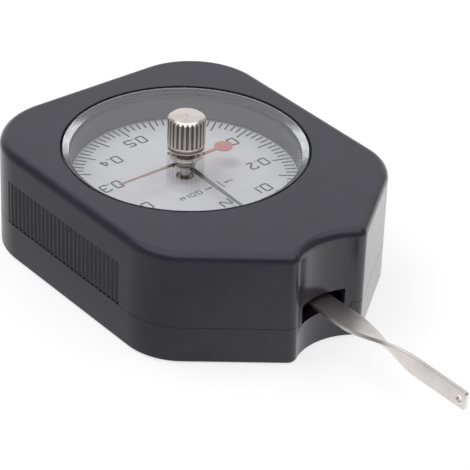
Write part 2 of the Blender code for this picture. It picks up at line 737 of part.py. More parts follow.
def rear_case(material):
    rim = PARTING_HEIGHT - GAP / 2
    thing = flat_solid("rear_case", [case_outline()], 0.0, rim)
    chamfer_rim(thing, 0.0, FOOT_CHAMFER)
    lip_top = PARTING_HEIGHT + LIP_HEIGHT
    lip = case_outline(WALL - LIP_THICKNESS)
    join(thing, flat_solid("add_lip", [lip], FLOOR_THICKNESS / 2, lip_top))
    cut(thing, flat_solid("cut_rear_cavity", [case_outline(WALL)], FLOOR_THICKNESS, lip_top + CUT_OVERRUN))
    half_recess = SLOT_WIDTH / 2 + SLOT_CHEEK + GAP
    recess = ((-half_recess, -BODY_WIDTH, SLOT_BOTTOM - GAP / 2),
              (half_recess, -NOTCH_REACH + WALL * 2 + GAP, lip_top + CUT_OVERRUN))
    cut(thing, blocks("cut_tongue_recess", [recess]))
    bosses = [(BOSS_RADIUS, FLOOR_THICKNESS / 2, rim - BOSS_RELIEF, place) for place in SCREW_PLACES]
    bosses += [(POST_RADIUS, FLOOR_THICKNESS / 2, POST_TOP, place) for place in POST_PLACES]
    join(thing, round_bars("add_rear_bosses", bosses))
    head_top = SCREW_HEAD_DEPTH + SCREW_HEAD_HEIGHT + GAP
    drills = [(SCREW_HEAD_RADIUS + GAP, -CUT_OVERRUN, head_top, place) for place in SCREW_PLACES]
    cut(thing, round_bars("cut_counterbores", drills))
    drills = [(SCREW_RADIUS + GAP, -CUT_OVERRUN, BODY_HEIGHT, place) for place in SCREW_PLACES]
    drills += [(POST_SCREW_RADIUS + GAP, POST_TOP - POST_SCREW_BITE - GAP, POST_TOP + CUT_OVERRUN, place)
               for place in POST_PLACES]
    cut(thing, round_bars("cut_rear_holes", drills))
    return finish(thing, material)


def screw_profile(head_radius, head_bottom, head_top, shank_radius, shank_end):
    """Profile of a cheese-head screw, with the shank above or below its head."""
    if shank_end > head_top:
        return [(0.0, shank_end), (shank_radius, shank_end), (shank_radius, head_top),
                (head_radius, head_top), (head_radius, head_bottom), (0.0, head_bottom)]
    return [(0.0, head_top), (head_radius, head_top), (head_radius, head_bottom),
            (shank_radius, head_bottom), (shank_radius, shank_end), (0.0, shank_end)]


def case_screws(material):
    head_top = SCREW_HEAD_DEPTH + SCREW_HEAD_HEIGHT
    end = PARTING_HEIGHT + LIP_HEIGHT + GAP + SCREW_BITE
    profile = screw_profile(SCREW_HEAD_RADIUS, SCREW_HEAD_DEPTH, head_top, SCREW_RADIUS, end)
    unit = turned("case_screw_unit", profile)
    half_width, half_length = CROSS_WIDTH / 2, SCREW_HEAD_RADIUS / 2
    low, high = SCREW_HEAD_DEPTH - CUT_OVERRUN, SCREW_HEAD_DEPTH + CROSS_DEPTH
    for name, x, y in (("cut_cross_x", half_length, half_width), ("cut_cross_y", half_width, half_length)):
        cut(unit, blocks(name, [((-x, -y, low), (x, y, high))]))
    copies("case_screw", unit, SCREW_PLACES, material)


# Lens and dial

def lens(material):
    bevel_top = LENS_TOP - LENS_EDGE_HEIGHT
    bore = SPINDLE_RADIUS + GAP + SPINDLE_BUSH_WALL + GAP
    profile = [(bore, LENS_TOP), (LENS_RADIUS, LENS_TOP), (LENS_RADIUS, bevel_top),
               (LENS_RADIUS - LENS_BEVEL, LENS_BOTTOM), (bore, LENS_BOTTOM)]
    return finish(turned("lens", profile, steps=ROUND_SIDES), material)


def lens_seal(material):
    inner = LEDGE_RADIUS + GAP / 2
    outer = inner + SEAL_WIDTH
    profile = [(inner, SEAL_TOP), (outer, SEAL_TOP), (outer, SEAL_BOTTOM), (inner, SEAL_BOTTOM)]
    return finish(turned("lens_seal", profile, steps=ROUND_SIDES), material)


def dial_plate(material):
    hole = SHAFT_PIVOT_RADIUS + GAP + BUSH_WALL + GAP
    profile = [(hole, DIAL_TOP), (DIAL_RADIUS, DIAL_TOP), (DIAL_RADIUS, DIAL_BOTTOM), (hole, DIAL_BOTTOM)]
    thing = turned("dial_plate", profile, steps=ROUND_SIDES)
    foot_bottom = FRONT_PLATE_TOP + GAP
    middle = (DIAL_BOTTOM + DIAL_TOP) / 2
    feet = [(DIAL_FOOT_RADIUS, foot_bottom, middle, place) for place in DIAL_FOOT_PLACES]
    join(thing, round_bars("add_dial_feet", feet))
    pins = [(DIAL_PIN_RADIUS, foot_bottom - DIAL_PIN_LENGTH, middle, place) for place in DIAL_FOOT_PLACES]
    join(thing, round_bars("add_dial_pins", pins))
    return finish(thing, material)


# Movement frame

def plate_holes(radii, bottom, top):
    """Cutters through a plate; radii holds pairs of a hole's radius and its places."""
    bars = [(radius, bottom - CUT_OVERRUN, top + CUT_OVERRUN, place)
            for radius, places in radii for place in places]
    return round_bars("cut_plate_holes", bars)


def front_plate(material):
    thing = flat_solid("front_plate", [plate_outline()], FRONT_PLATE_BOTTOM, FRONT_PLATE_TOP)
    radii = [
        (AXLE_PIVOT_RADIUS + GAP + BUSH_WALL + GAP, [PIVOT]),
        (SHAFT_PIVOT_RADIUS + GAP + BUSH_WALL + GAP, [(0.0, 0.0)]),
        (PILLAR_SCREW_RADIUS + GAP, PILLAR_PLACES),
        (DIAL_PIN_RADIUS + GAP, DIAL_FOOT_PLACES),
        (SPRING_STUD_RADIUS + GAP, [SPRING_STUD_PLACE]),
        (HAIRSPRING_STUD_RADIUS + GAP, [HAIRSPRING_STUD_PLACE]),
    ]
    cut(thing, plate_holes(radii, FRONT_PLATE_BOTTOM, FRONT_PLATE_TOP))
    return finish(thing, material)


def rear_plate(material):
    thing = flat_solid("rear_plate", [plate_outline()], REAR_PLATE_BOTTOM, REAR_PLATE_TOP)
    radii = [
        (AXLE_PIVOT_RADIUS + GAP + BUSH_WALL + GAP, [PIVOT]),
        (SHAFT_PIVOT_RADIUS + GAP + BUSH_WALL + GAP, [(0.0, 0.0)]),
        (PILLAR_SPIGOT_RADIUS + GAP, PILLAR_PLACES),
        (POST_SCREW_RADIUS + GAP, POST_PLACES),
        (STOP_PIN_RADIUS + GAP, stop_pin_places()),
    ]
    cut(thing, plate_holes(radii, REAR_PLATE_BOTTOM, REAR_PLATE_TOP))
    return finish(thing, material)


def plate_pillars(material):
    bore = PILLAR_SCREW_RADIUS + GAP
    bore_bottom = FRONT_PLATE_TOP - PILLAR_SCREW_LENGTH - GAP
    profile = [(0.0, bore_bottom), (bore, bore_bottom), (bore, PILLAR_TOP), (PILLAR_RADIUS, PILLAR_TOP),
               (PILLAR_RADIUS, PILLAR_BOTTOM), (PILLAR_SPIGOT_RADIUS, PILLAR_BOTTOM),
               (PILLAR_SPIGOT_RADIUS, REAR_PLATE_BOTTOM + GAP), (0.0, REAR_PLATE_BOTTOM + GAP)]
    copies("plate_pillar", turned("pillar_unit", profile), PILLAR_PLACES, material)


def driver_slot(unit, head_radius, head_top):
    """Cut a straight slot for a screwdriver across a head."""
    reach = head_radius + CUT_OVERRUN
    half = DRIVER_SLOT_WIDTH / 2
    low = (-reach, -half, head_top - DRIVER_SLOT_DEPTH)
    cut(unit, blocks("cut_driver_slot", [(low, (reach, half, head_top + CUT_OVERRUN))]))


def pillar_screws(material):
    head_bottom = FRONT_PLATE_TOP + GAP
    head_top = head_bottom + PILLAR_SCREW_HEAD_HEIGHT
    end = FRONT_PLATE_TOP - PILLAR_SCREW_LENGTH
    profile = screw_profile(PILLAR_SCREW_HEAD_RADIUS, head_bottom, head_top, PILLAR_SCREW_RADIUS, end)
    unit = turned("pillar_screw_unit", profile)
    driver_slot(unit, PILLAR_SCREW_HEAD_RADIUS, head_top)
    copies("pillar_screw", unit, PILLAR_PLACES, material)


def movement_screws(material):
    head_bottom = REAR_PLATE_TOP + GAP
    head_top = head_bottom + POST_SCREW_HEAD_HEIGHT
    end = POST_TOP - POST_SCREW_BITE
    profile = screw_profile(POST_SCREW_HEAD_RADIUS, head_bottom, head_top, POST_SCREW_RADIUS, end)
    unit = turned("movement_screw_unit", profile)
    driver_slot(unit, POST_SCREW_HEAD_RADIUS, head_top)
    copies("movement_screw", unit, POST_PLACES, material)


def front_bush(name, pivot_radius, at, nose, material):
    """A flanged bearing bush let into the front plate from above, with a nose above its flange."""
    bore = pivot_radius + GAP
    body = bore + BUSH_WALL
    flange = body + BUSH_FLANGE_WIDTH
    flange_bottom = FRONT_PLATE_TOP + GAP
    flange_top = flange_bottom + BUSH_FLANGE_HEIGHT
    profile = [(bore, flange_top), (flange, flange_top), (flange, flange_bottom), (body, flange_bottom),
               (body, FRONT_PLATE_BOTTOM - GAP), (bore, FRONT_PLATE_BOTTOM - GAP)]
    if nose:
        profile[:1] = [(bore, flange_top + nose), (body, flange_top + nose), (body, flange_top)]
    return finish(turned(name, profile, at), material)


def rear_bush(name, pivot_radius, at, material):
    """A flanged bearing bush let into the rear plate from above."""
    bore = pivot_radius + GAP
    body = bore + BUSH_WALL
    flange = body + BUSH_FLANGE_WIDTH
    flange_bottom = REAR_PLATE_TOP + GAP
    flange_top = flange_bottom + BUSH_FLANGE_HEIGHT
    profile = [(bore, flange_top), (flange, flange_top), (flange, flange_bottom), (body, flange_bottom),
               (body, REAR_PLATE_BOTTOM), (bore, REAR_PLATE_BOTTOM)]
    return finish(turned(name, profile, at), material)


def stop_pin_places():
    """Places where a stop pin meets the sector's arm at the end of its swing."""
    pitch = 2 * math.pi / (PINION_TEETH * GEAR_RATIO)
    root = SECTOR_RADIUS - DEDENDUM_SHARE * MODULE
    rim_half = root * math.sin(pitch * SECTOR_TEETH_CUT / 2)
    rim_reach = root * math.cos(pitch * SECTOR_TEETH_CUT / 2)
    hub = polar(SECTOR_HUB_RADIUS, math.radians(60))
    share = (STOP_PIN_REACH - hub[1]) / (rim_reach - hub[1])
    edge = math.atan2(hub[0] + (rim_half - hub[0]) * share, STOP_PIN_REACH)
    angle = edge + SWING + math.asin((STOP_PIN_RADIUS + GAP) / STOP_PIN_REACH)
    reach = polar(STOP_PIN_REACH, angle)
    return [(side * reach[0], reach[1] - PIVOT_REACH) for side in (-1, 1)]


def stop_pins(material):
    bar = (STOP_PIN_RADIUS, REAR_PLATE_BOTTOM + GAP, SECTOR_TOP + GAP, (0.0, 0.0))
    copies("stop_pin", round_bars("stop_pin_unit", [bar]), stop_pin_places(), material)


# The lever and what turns with it

def lever_stations():
    """Distances from the pivot, towards the tip, at which the strip has a row of points."""
    corner = [LEVER_CORNER * (1 - math.cos(math.radians(30 * i))) for i in range(4)]
    tail = [-LEVER_TAIL + step for step in corner]
    span = LEVER_TWIST_END - LEVER_TWIST_START
    twist = [LEVER_TWIST_START + span * i / LEVER_TWIST_STEPS for i in range(LEVER_TWIST_STEPS + 1)]
    tip = [LEVER_REACH - step for step in reversed(corner)]
    return tail + twist + tip


def lever_half_width(reach):
    """Half the strip's width at a distance from the pivot, with its rounded corners."""
    share = min(max((reach - LEVER_TWIST_START) / (LEVER_TWIST_END - LEVER_TWIST_START), 0.0), 1.0)
    half = (LEVER_WIDTH + (LEVER_TIP_WIDTH - LEVER_WIDTH) * share) / 2
    from_end = min(reach + LEVER_TAIL, LEVER_REACH - reach)
    if from_end < LEVER_CORNER:
        half -= LEVER_CORNER - math.sqrt(max(LEVER_CORNER ** 2 - (LEVER_CORNER - from_end) ** 2, 0.0))
    return half


def lever_turn(reach):
    """How far the strip has twisted at a distance from the pivot: a quarter turn, eased at both ends."""
    share = min(max((reach - LEVER_TWIST_START) / (LEVER_TWIST_END - LEVER_TWIST_START), 0.0), 1.0)
    return LEVER_TWIST * share * share * (3 - 2 * share)


def feeler_lever(material):
    stations = lever_stations()
    rows = len(stations)
    work = bmesh.new()
    bmesh.ops.create_grid(work, x_segments=1, y_segments=rows - 1, size=0.5)
    for vertex in work.verts:
        reach = stations[round((0.5 - vertex.co.y) * (rows - 1))]
        side = 1 if vertex.co.x > 0 else -1
        vertex.co = (side * lever_half_width(reach), -reach, 0.0)
    mesh = bpy.data.meshes.new("feeler_lever")
    work.to_mesh(mesh)
    work.free()
    thing = mesh_object("feeler_lever", mesh, (PIVOT[0], PIVOT[1], LEVER_MIDDLE))
    shell = thing.modifiers.new("strip", "SOLIDIFY")
    shell.thickness = LEVER_THICKNESS
    shell.offset = 0.0
    thing = as_mesh(thing)
    for vertex in thing.data.vertices:
        turn = Matrix.Rotation(lever_turn(-vertex.co.y), 4, "Y")
        vertex.co = turn @ vertex.co
    low, high = LEVER_BOTTOM - CUT_OVERRUN, LEVER_TOP + CUT_OVERRUN
    holes = [(AXLE_RADIUS + GAP, low, high, (0.0, 0.0))]
    holes += [(RIVET_RADIUS + GAP, low, high, (0.0, side * RIVET_OFFSET)) for side in (-1, 1)]
    cut(thing, round_bars("cut_lever_holes", holes, PIVOT))
    drill = round_bars("cut_tip_hole", [(TIP_HOLE_RADIUS, -LEVER_WIDTH, LEVER_WIDTH, (0.0, 0.0))])
    drill.rotation_euler.y = math.pi / 2
    drill.location = (0.0, TIP_HOLE_INSET - LEVER_REACH - PIVOT_REACH, LEVER_MIDDLE)
    cut(thing, drill)
    return finish(thing, material)


def lever_boss(material):
    bore = AXLE_RADIUS + GAP
    top = BOSS_DISC_BOTTOM + BOSS_DISC_HEIGHT
    profile = [(bore, top), (BOSS_DISC_RADIUS, top), (BOSS_DISC_RADIUS, BOSS_DISC_BOTTOM),
               (bore, BOSS_DISC_BOTTOM)]
    thing = turned("lever_boss", profile, PIVOT, steps=2 * SMALL_SIDES)
    low, high = BOSS_DISC_BOTTOM - CUT_OVERRUN, top + CUT_OVERRUN
    holes = [(RIVET_RADIUS + GAP, low, high, (0.0, side * RIVET_OFFSET)) for side in (-1, 1)]
    cut(thing, round_bars("cut_boss_holes", holes, PIVOT))
    return finish(thing, material)


def lever_rivets(material):
    head_bottom = RIVET_TOP - RIVET_HEAD_HEIGHT
    profile = screw_profile(RIVET_HEAD_RADIUS, head_bottom, RIVET_TOP, RIVET_RADIUS, BOSS_DISC_BOTTOM)
    places = [(0.0, side * RIVET_OFFSET - PIVOT_REACH) for side in (-1, 1)]
    copies("lever_rivet", turned("rivet_unit", profile), places, material)


def lever_axle(material):
    low = REAR_PLATE_BOTTOM + AXLE_END_FLOAT
    shoulder_low = REAR_PLATE_TOP + GAP + BUSH_FLANGE_HEIGHT + AXLE_END_FLOAT
    shoulder_high = FRONT_PLATE_BOTTOM - GAP - AXLE_END_FLOAT
    high = FRONT_PLATE_TOP + GAP
    profile = [(0.0, high), (AXLE_PIVOT_RADIUS, high), (AXLE_PIVOT_RADIUS, shoulder_high),
               (AXLE_RADIUS, shoulder_high), (AXLE_RADIUS, shoulder_low), (AXLE_PIVOT_RADIUS, shoulder_low),
               (AXLE_PIVOT_RADIUS, low), (0.0, low)]
    return finish(turned("lever_axle", profile, PIVOT), material)


def sector_gear(material):
    loops = [sector_outline(), sector_window(), circle(AXLE_RADIUS + GAP, SMALL_SIDES)]
    return finish(flat_solid("sector_gear", loops, SECTOR_BOTTOM, SECTOR_TOP, PIVOT), material)


def spring_collet(material):
    bore = AXLE_RADIUS + GAP
    profile = [(bore, SPRING_TOP), (SPRING_COLLET_RADIUS, SPRING_TOP), (SPRING_COLLET_RADIUS, SPRING_BOTTOM),
               (bore, SPRING_BOTTOM)]
    return finish(turned("spring_collet", profile, PIVOT), material)


def measuring_spring(material):
    inner = SPRING_COLLET_RADIUS + GAP + SPRING_STRIP
    points = spiral(inner, SPRING_PITCH, SPRING_TURNS, math.pi)
    thing = ribbon("measuring_spring", points, SPRING_BOTTOM, SPRING_TOP, SPRING_STRIP, PIVOT)
    return finish(thing, material)


def spring_stud(material):
    bar = (SPRING_STUD_RADIUS, SPRING_BOTTOM, FRONT_PLATE_TOP, SPRING_STUD_PLACE)
    return finish(round_bars("spring_stud", [bar]), material)


# The pointer and what turns with it

def pinion_shaft(material):
    low = REAR_PLATE_BOTTOM + AXLE_END_FLOAT
    shoulder_low = REAR_PLATE_TOP + GAP + BUSH_FLANGE_HEIGHT + AXLE_END_FLOAT
    shoulder_high = FRONT_PLATE_BOTTOM - GAP - AXLE_END_FLOAT
    profile = [(0.0, POINTER_HUB_TOP), (SHAFT_PIVOT_RADIUS, POINTER_HUB_TOP),
               (SHAFT_PIVOT_RADIUS, shoulder_high), (SHAFT_RADIUS, shoulder_high),
               (SHAFT_RADIUS, shoulder_low), (SHAFT_PIVOT_RADIUS, shoulder_low),
               (SHAFT_PIVOT_RADIUS, low), (0.0, low)]
    thing = turned("pinion_shaft", profile)
    leaves = flat_solid("add_pinion_leaves", [pinion_outline()], SECTOR_BOTTOM - PINION_OVERHANG,
                        SECTOR_TOP + PINION_OVERHANG)
    return finish(join(thing, leaves), material)


def hairspring_collet(material):
    bore = SHAFT_RADIUS + GAP
    profile = [(bore, HAIRSPRING_TOP), (HAIRSPRING_COLLET_RADIUS, HAIRSPRING_TOP),
               (HAIRSPRING_COLLET_RADIUS, HAIRSPRING_BOTTOM), (bore, HAIRSPRING_BOTTOM)]
    return finish(turned("hairspring_collet", profile), material)


def hairspring(material):
    inner = HAIRSPRING_COLLET_RADIUS + GAP + HAIRSPRING_STRIP
    points = spiral(inner, HAIRSPRING_PITCH, HAIRSPRING_TURNS, math.pi / 2)
    thing = ribbon("hairspring", points, HAIRSPRING_BOTTOM, HAIRSPRING_TOP, HAIRSPRING_STRIP)
    return finish(thing, material)


def hairspring_stud(material):
    bar = (HAIRSPRING_STUD_RADIUS, HAIRSPRING_BOTTOM, FRONT_PLATE_TOP, HAIRSPRING_STUD_PLACE)
    return finish(round_bars("hairspring_stud", [bar]), material)


def pointer_hub(material):
    bore = SHAFT_PIVOT_RADIUS + GAP
    bottom = DIAL_TOP + GAP
    flange_bottom = POINTER_FLANGE_TOP - POINTER_HUB_FLANGE
    profile = [(bore, POINTER_HUB_TOP), (POINTER_SLEEVE_RADIUS, POINTER_HUB_TOP),
               (POINTER_SLEEVE_RADIUS, POINTER_FLANGE_TOP), (POINTER_HUB_RADIUS, POINTER_FLANGE_TOP),
               (POINTER_HUB_RADIUS, flange_bottom), (POINTER_SLEEVE_RADIUS, flange_bottom),
               (POINTER_SLEEVE_RADIUS, bottom), (bore, bottom)]
    return finish(turned("pointer_hub", profile), material)


def main_pointer(material):
    hole = POINTER_SLEEVE_RADIUS + GAP
    eye = hole + POINTER_EYE_WALL
    ring = (eye, POINTER_BOTTOM, POINTER_TOP, (0.0, 0.0))
    thing = round_bars("main_pointer", [ring], sides=2 * SMALL_SIDES)
    point = blade(POINTER_ROOT_WIDTH, POINTER_TIP_WIDTH, 0.0, POINTER_LENGTH)
    tail = blade(POINTER_ROOT_WIDTH, POINTER_ROOT_WIDTH, -POINTER_TAIL, 0.0)
    outline = [point[1], point[2], tail[3], tail[0]]
    arm = flat_solid("add_pointer_blade", [outline], POINTER_BOTTOM, POINTER_TOP)
    arm.rotation_euler.z = POINTER_HEADING
    join(thing, arm)
    drill = (hole, POINTER_BOTTOM - CUT_OVERRUN, POINTER_TOP + GAP, (0.0, 0.0))
    cut(thing, round_bars("cut_pointer_eye", [drill]))
    return finish(thing, material)


# The knob and what turns with it

def knob(material):
    neck = KNOB_RADIUS - KNOB_NECK_DEPTH
    flange_top = KNOB_BOTTOM + KNOB_FLANGE_HEIGHT
    top = KNOB_BOTTOM + KNOB_HEIGHT
    edge = KNOB_CHAMFER
    profile = [(0.0, top), (KNOB_RADIUS - KNOB_CROWN_WIDTH, top), (KNOB_RADIUS, top - KNOB_CROWN_HEIGHT),
               (KNOB_RADIUS, flange_top + KNOB_NECK_HEIGHT), (neck, flange_top + KNOB_NECK_HEIGHT),
               (neck, flange_top), (KNOB_FLANGE_RADIUS - edge, flange_top),
               (KNOB_FLANGE_RADIUS, flange_top - edge), (KNOB_FLANGE_RADIUS, KNOB_BOTTOM)]
    recess = BUSH_HEAD_RADIUS + GAP
    recess_top = KNOB_BOTTOM + BUSH_HEAD_HEIGHT + GAP
    bore = SPINDLE_RADIUS + GAP
    bore_top = recess_top + SPINDLE_SOCKET + GAP
    profile += [(recess, KNOB_BOTTOM), (recess, recess_top), (bore, recess_top), (bore, bore_top),
                (0.0, bore_top)]
    thing = turned("knob", profile, steps=KNOB_FLUTES)
    reach = KNOB_RADIUS - FLUTE_DEPTH + FLUTE_RADIUS
    flutes = [(FLUTE_RADIUS, flange_top + KNOB_NECK_HEIGHT / 2, top + CUT_OVERRUN, polar(reach, angle))
              for angle in (2 * math.pi * (i + 0.5) / KNOB_FLUTES for i in range(KNOB_FLUTES))]
    cut(thing, round_bars("cut_flutes", flutes, sides=SMALL_SIDES * 2 // 3))
    return finish(thing, material)


def knob_spindle(material):
    high = KNOB_BOTTOM + BUSH_HEAD_HEIGHT + GAP + SPINDLE_SOCKET
    return finish(round_bars("knob_spindle", [(SPINDLE_RADIUS, SPINDLE_BOTTOM, high, (0.0, 0.0))]), material)


def spindle_bush(material):
    bore = SPINDLE_RADIUS + GAP
    body = bore + SPINDLE_BUSH_WALL
    head_top = KNOB_BOTTOM + BUSH_HEAD_HEIGHT
    profile = [(bore, head_top), (BUSH_HEAD_RADIUS, head_top), (BUSH_HEAD_RADIUS, KNOB_BOTTOM),
               (body, KNOB_BOTTOM), (body, SPINDLE_BUSH_BOTTOM), (bore, SPINDLE_BUSH_BOTTOM)]
    return finish(turned("spindle_bush", profile), material)


def bush_nut(material):
    bore = SPINDLE_RADIUS + GAP + SPINDLE_BUSH_WALL + GAP
    profile = [(bore, NUT_TOP), (NUT_RADIUS, NUT_TOP), (NUT_RADIUS, NUT_BOTTOM), (bore, NUT_BOTTOM)]
    return finish(turned("bush_nut", profile, steps=2 * SMALL_SIDES), material)


def drag_pointer_hub(material):
    bore = SPINDLE_RADIUS + GAP
    sleeve = bore + DRAG_SLEEVE_WALL
    profile = [(bore, DRAG_FLANGE_TOP), (DRAG_FLANGE_RADIUS, DRAG_FLANGE_TOP),
               (DRAG_FLANGE_RADIUS, DRAG_FLANGE_BOTTOM), (sleeve, DRAG_FLANGE_BOTTOM),
               (sleeve, SPINDLE_BOTTOM), (bore, SPINDLE_BOTTOM)]
    return finish(turned("drag_pointer_hub", profile, steps=2 * SMALL_SIDES), material)


def drag_pointer(material):
    """The thin red pointer: blade, eye, stem and counterweight disc, with a short tab turned down."""
    hole = SPINDLE_RADIUS + GAP + DRAG_SLEEVE_WALL + GAP
    eye = hole + DRAG_EYE_WALL
    ring = (eye, DRAG_BOTTOM, DRAG_TOP, (0.0, 0.0))
    disc = (DRAG_DISC_RADIUS, DRAG_BOTTOM, DRAG_TOP, (-DRAG_DISC_REACH, 0.0))
    thing = round_bars("drag_pointer", [ring, disc], sides=2 * SMALL_SIDES)
    root, tip = DRAG_ROOT_WIDTH / 2, DRAG_TIP_WIDTH / 2
    outline = [(DRAG_LENGTH, -tip), (DRAG_LENGTH, tip), (0.0, root), (-DRAG_DISC_REACH, root),
               (-DRAG_DISC_REACH, -root), (0.0, -root)]
    join(thing, flat_solid("add_drag_blade", [outline], DRAG_BOTTOM, DRAG_TOP))
    half = DRAG_TAB_WIDTH / 2
    tab_low = (DRAG_TAB_REACH, -half, POINTER_TOP + GAP)
    tab_high = (DRAG_TAB_REACH + DRAG_THICKNESS, half, DRAG_TOP - DRAG_THICKNESS / 2)
    join(thing, blocks("add_drag_tab", [(tab_low, tab_high)]))
    cut(thing, round_bars("cut_drag_eye", [(hole, DRAG_BOTTOM - CUT_OVERRUN, DRAG_TOP + GAP, (0.0, 0.0))]))
    thing = as_mesh(thing)
    thing.rotation_euler.z = DRAG_HEADING
    return finish(thing, material)


def carry(name, place, pieces):
    """An empty on a joint's axis, which carries the pieces of one moving body and their cutters."""
    axis = bpy.data.objects.new(name, None)
    axis.location = (*place, 0.0)
    axis.empty_display_size = KNOB_RADIUS
    PARTS.objects.link(axis)
    for piece in pieces:
        thing = bpy.data.objects[piece]
        tools = [change.object for change in thing.modifiers if change.type == "BOOLEAN"]
        for child in [thing, *tools]:
            child.parent = axis
            child.matrix_parent_inverse = Matrix.Translation(axis.location).inverted()


def build():
    look = {name: new_material(name) for name in FINISHES}
    front_case(look["case_plastic"])
    rear_case(look["case_plastic"])
    case_screws(look["screw_black"])
    lens(look["clear_acrylic"])
    lens_seal(look["seal_rubber"])
    dial_plate(look["dial_silver"])
    front_plate(look["brass"])
    rear_plate(look["brass"])
    plate_pillars(look["brass"])
    pillar_screws(look["steel"])
    movement_screws(look["steel"])
    stop_pins(look["steel"])
    front_bush("lever_bush_front", AXLE_PIVOT_RADIUS, PIVOT, 0.0, look["brass"])
    rear_bush("lever_bush_rear", AXLE_PIVOT_RADIUS, PIVOT, look["brass"])
    front_bush("pinion_bush_front", SHAFT_PIVOT_RADIUS, (0.0, 0.0), BUSH_NOSE, look["brass"])
    rear_bush("pinion_bush_rear", SHAFT_PIVOT_RADIUS, (0.0, 0.0), look["brass"])
    feeler_lever(look["nickel"])
    lever_boss(look["brass"])
    lever_rivets(look["steel"])
    lever_axle(look["steel"])
    sector_gear(look["brass"])
    spring_collet(look["brass"])
    measuring_spring(look["spring_bronze"])
    spring_stud(look["steel"])
    pinion_shaft(look["steel"])
    hairspring_collet(look["brass"])
    hairspring(look["spring_bronze"])
    hairspring_stud(look["steel"])
    pointer_hub(look["nickel"])
    main_pointer(look["pointer_black"])
    knob(look["nickel"])
    knob_spindle(look["nickel"])
    spindle_bush(look["nickel"])
    bush_nut(look["nickel"])
    drag_pointer_hub(look["nickel"])
    drag_pointer(look["pointer_red"])
    carry("lever_axis", PIVOT, ["feeler_lever", "lever_boss", "lever_rivet_1", "lever_rivet_2", "lever_axle",
                                "sector_gear", "spring_collet"])
    carry("pointer_axis", (0.0, 0.0), ["pinion_shaft", "hairspring_collet", "pointer_hub", "main_pointer"])
    carry("knob_axis", (0.0, 0.0), ["knob", "knob_spindle", "drag_pointer_hub", "drag_pointer"])


build()
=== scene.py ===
"""Looks of the dial tension gauge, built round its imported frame. Metres, +Z out of the dial.

The origin is where the dial's axis meets the underside, and the lever points to -Y.
"""

import json
import math

import bmesh
import bpy
from mathutils import Matrix, Vector

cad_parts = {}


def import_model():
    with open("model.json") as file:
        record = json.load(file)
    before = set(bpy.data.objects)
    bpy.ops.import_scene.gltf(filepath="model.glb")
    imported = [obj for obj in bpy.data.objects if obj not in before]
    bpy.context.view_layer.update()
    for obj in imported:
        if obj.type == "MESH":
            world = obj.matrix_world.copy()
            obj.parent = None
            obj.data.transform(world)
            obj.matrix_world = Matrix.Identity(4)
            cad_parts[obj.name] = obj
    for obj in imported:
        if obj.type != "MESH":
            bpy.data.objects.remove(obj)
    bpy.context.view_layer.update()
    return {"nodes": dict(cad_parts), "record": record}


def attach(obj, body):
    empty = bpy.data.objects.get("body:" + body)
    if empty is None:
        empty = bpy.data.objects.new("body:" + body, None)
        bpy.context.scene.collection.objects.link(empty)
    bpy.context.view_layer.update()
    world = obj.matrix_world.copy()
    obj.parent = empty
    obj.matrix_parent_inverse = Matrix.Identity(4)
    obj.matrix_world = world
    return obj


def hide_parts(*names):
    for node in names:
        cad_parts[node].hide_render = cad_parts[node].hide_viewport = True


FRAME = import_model()

# Shared clearances and smoothing
GAP = 0.0003
OVERRUN = 0.002
WELD = 0.0000005
SHARP_ANGLE = math.radians(32.0)
UPRIGHT = 0.35
LEVEL = 0.95

# Case plan
BODY_WIDTH = 0.0600
BACK_REACH = 0.0318
SHOULDER_REACH = 0.0279
CHEEK_ANGLE = math.radians(37.5)
BACK_RADIUS = 0.0157
SHOULDER_RADIUS = 0.0131
NOTCH_REACH = 0.04186
NOTCH_RADIUS = 0.0130
TIP_RADIUS = 0.0020
WALL = 0.0020
EDGE_ROUND = 0.00006
NOTCH_STEPS = 30
TIP_STEPS = 12
SHOULDER_STEPS = 28
BACK_STEPS = 40

# Case heights
BODY_HEIGHT = 0.0238
CEILING = 0.0214
FILLET = 0.0018
FILLET_STEPS = 9
FLOOR_TOP = 0.0020
FOOT_CHAMFER = 0.0005
FOOT_BULGE = 0.000042
FOOT_SHARES = (0.0, 0.12, 0.5, 0.88, 1.0)
FRONT_BOTTOM = 0.00792
REAR_TOP = 0.00788
LIP_TOP = 0.0091
LIP_INSET = 0.0011
REBATE_INSET = 0.0008
REBATE_TOP = 0.0094
TONGUE_BOTTOM = 0.00704
TONGUE_HALF = 0.00651
RECESS_BOTTOM = 0.00696
RECESS_HALF = 0.00659
STEP_WIDTH = 0.00003

# Window, dial well and lens
WINDOW_RADIUS = 0.0248
WINDOW_ROUND = 0.00012
LEDGE_HEIGHT = 0.0204
WELL_RADIUS = 0.0225
WELL_TOP_RADIUS = 0.0229
WELL_BOTTOM = 0.0162
COLLAR_RADIUS = 0.0261
DIAL_TOP = 0.0159
LENS_RADIUS = 0.02435
LENS_TOP = 0.0237
LENS_BOTTOM = 0.0215
LENS_EDGE_HEIGHT = 0.00065
LENS_BEVEL = 0.00135
LENS_BORE = 0.0018
LENS_ROUND = 0.00012
LENS_SHADE_DEPTH = 0.0004
SEAL_INNER = 0.02375
SEAL_OUTER = 0.02435
SEAL_BOTTOM = 0.0207
SEAL_TOP = 0.0212
SEAL_ROUND = 0.0002

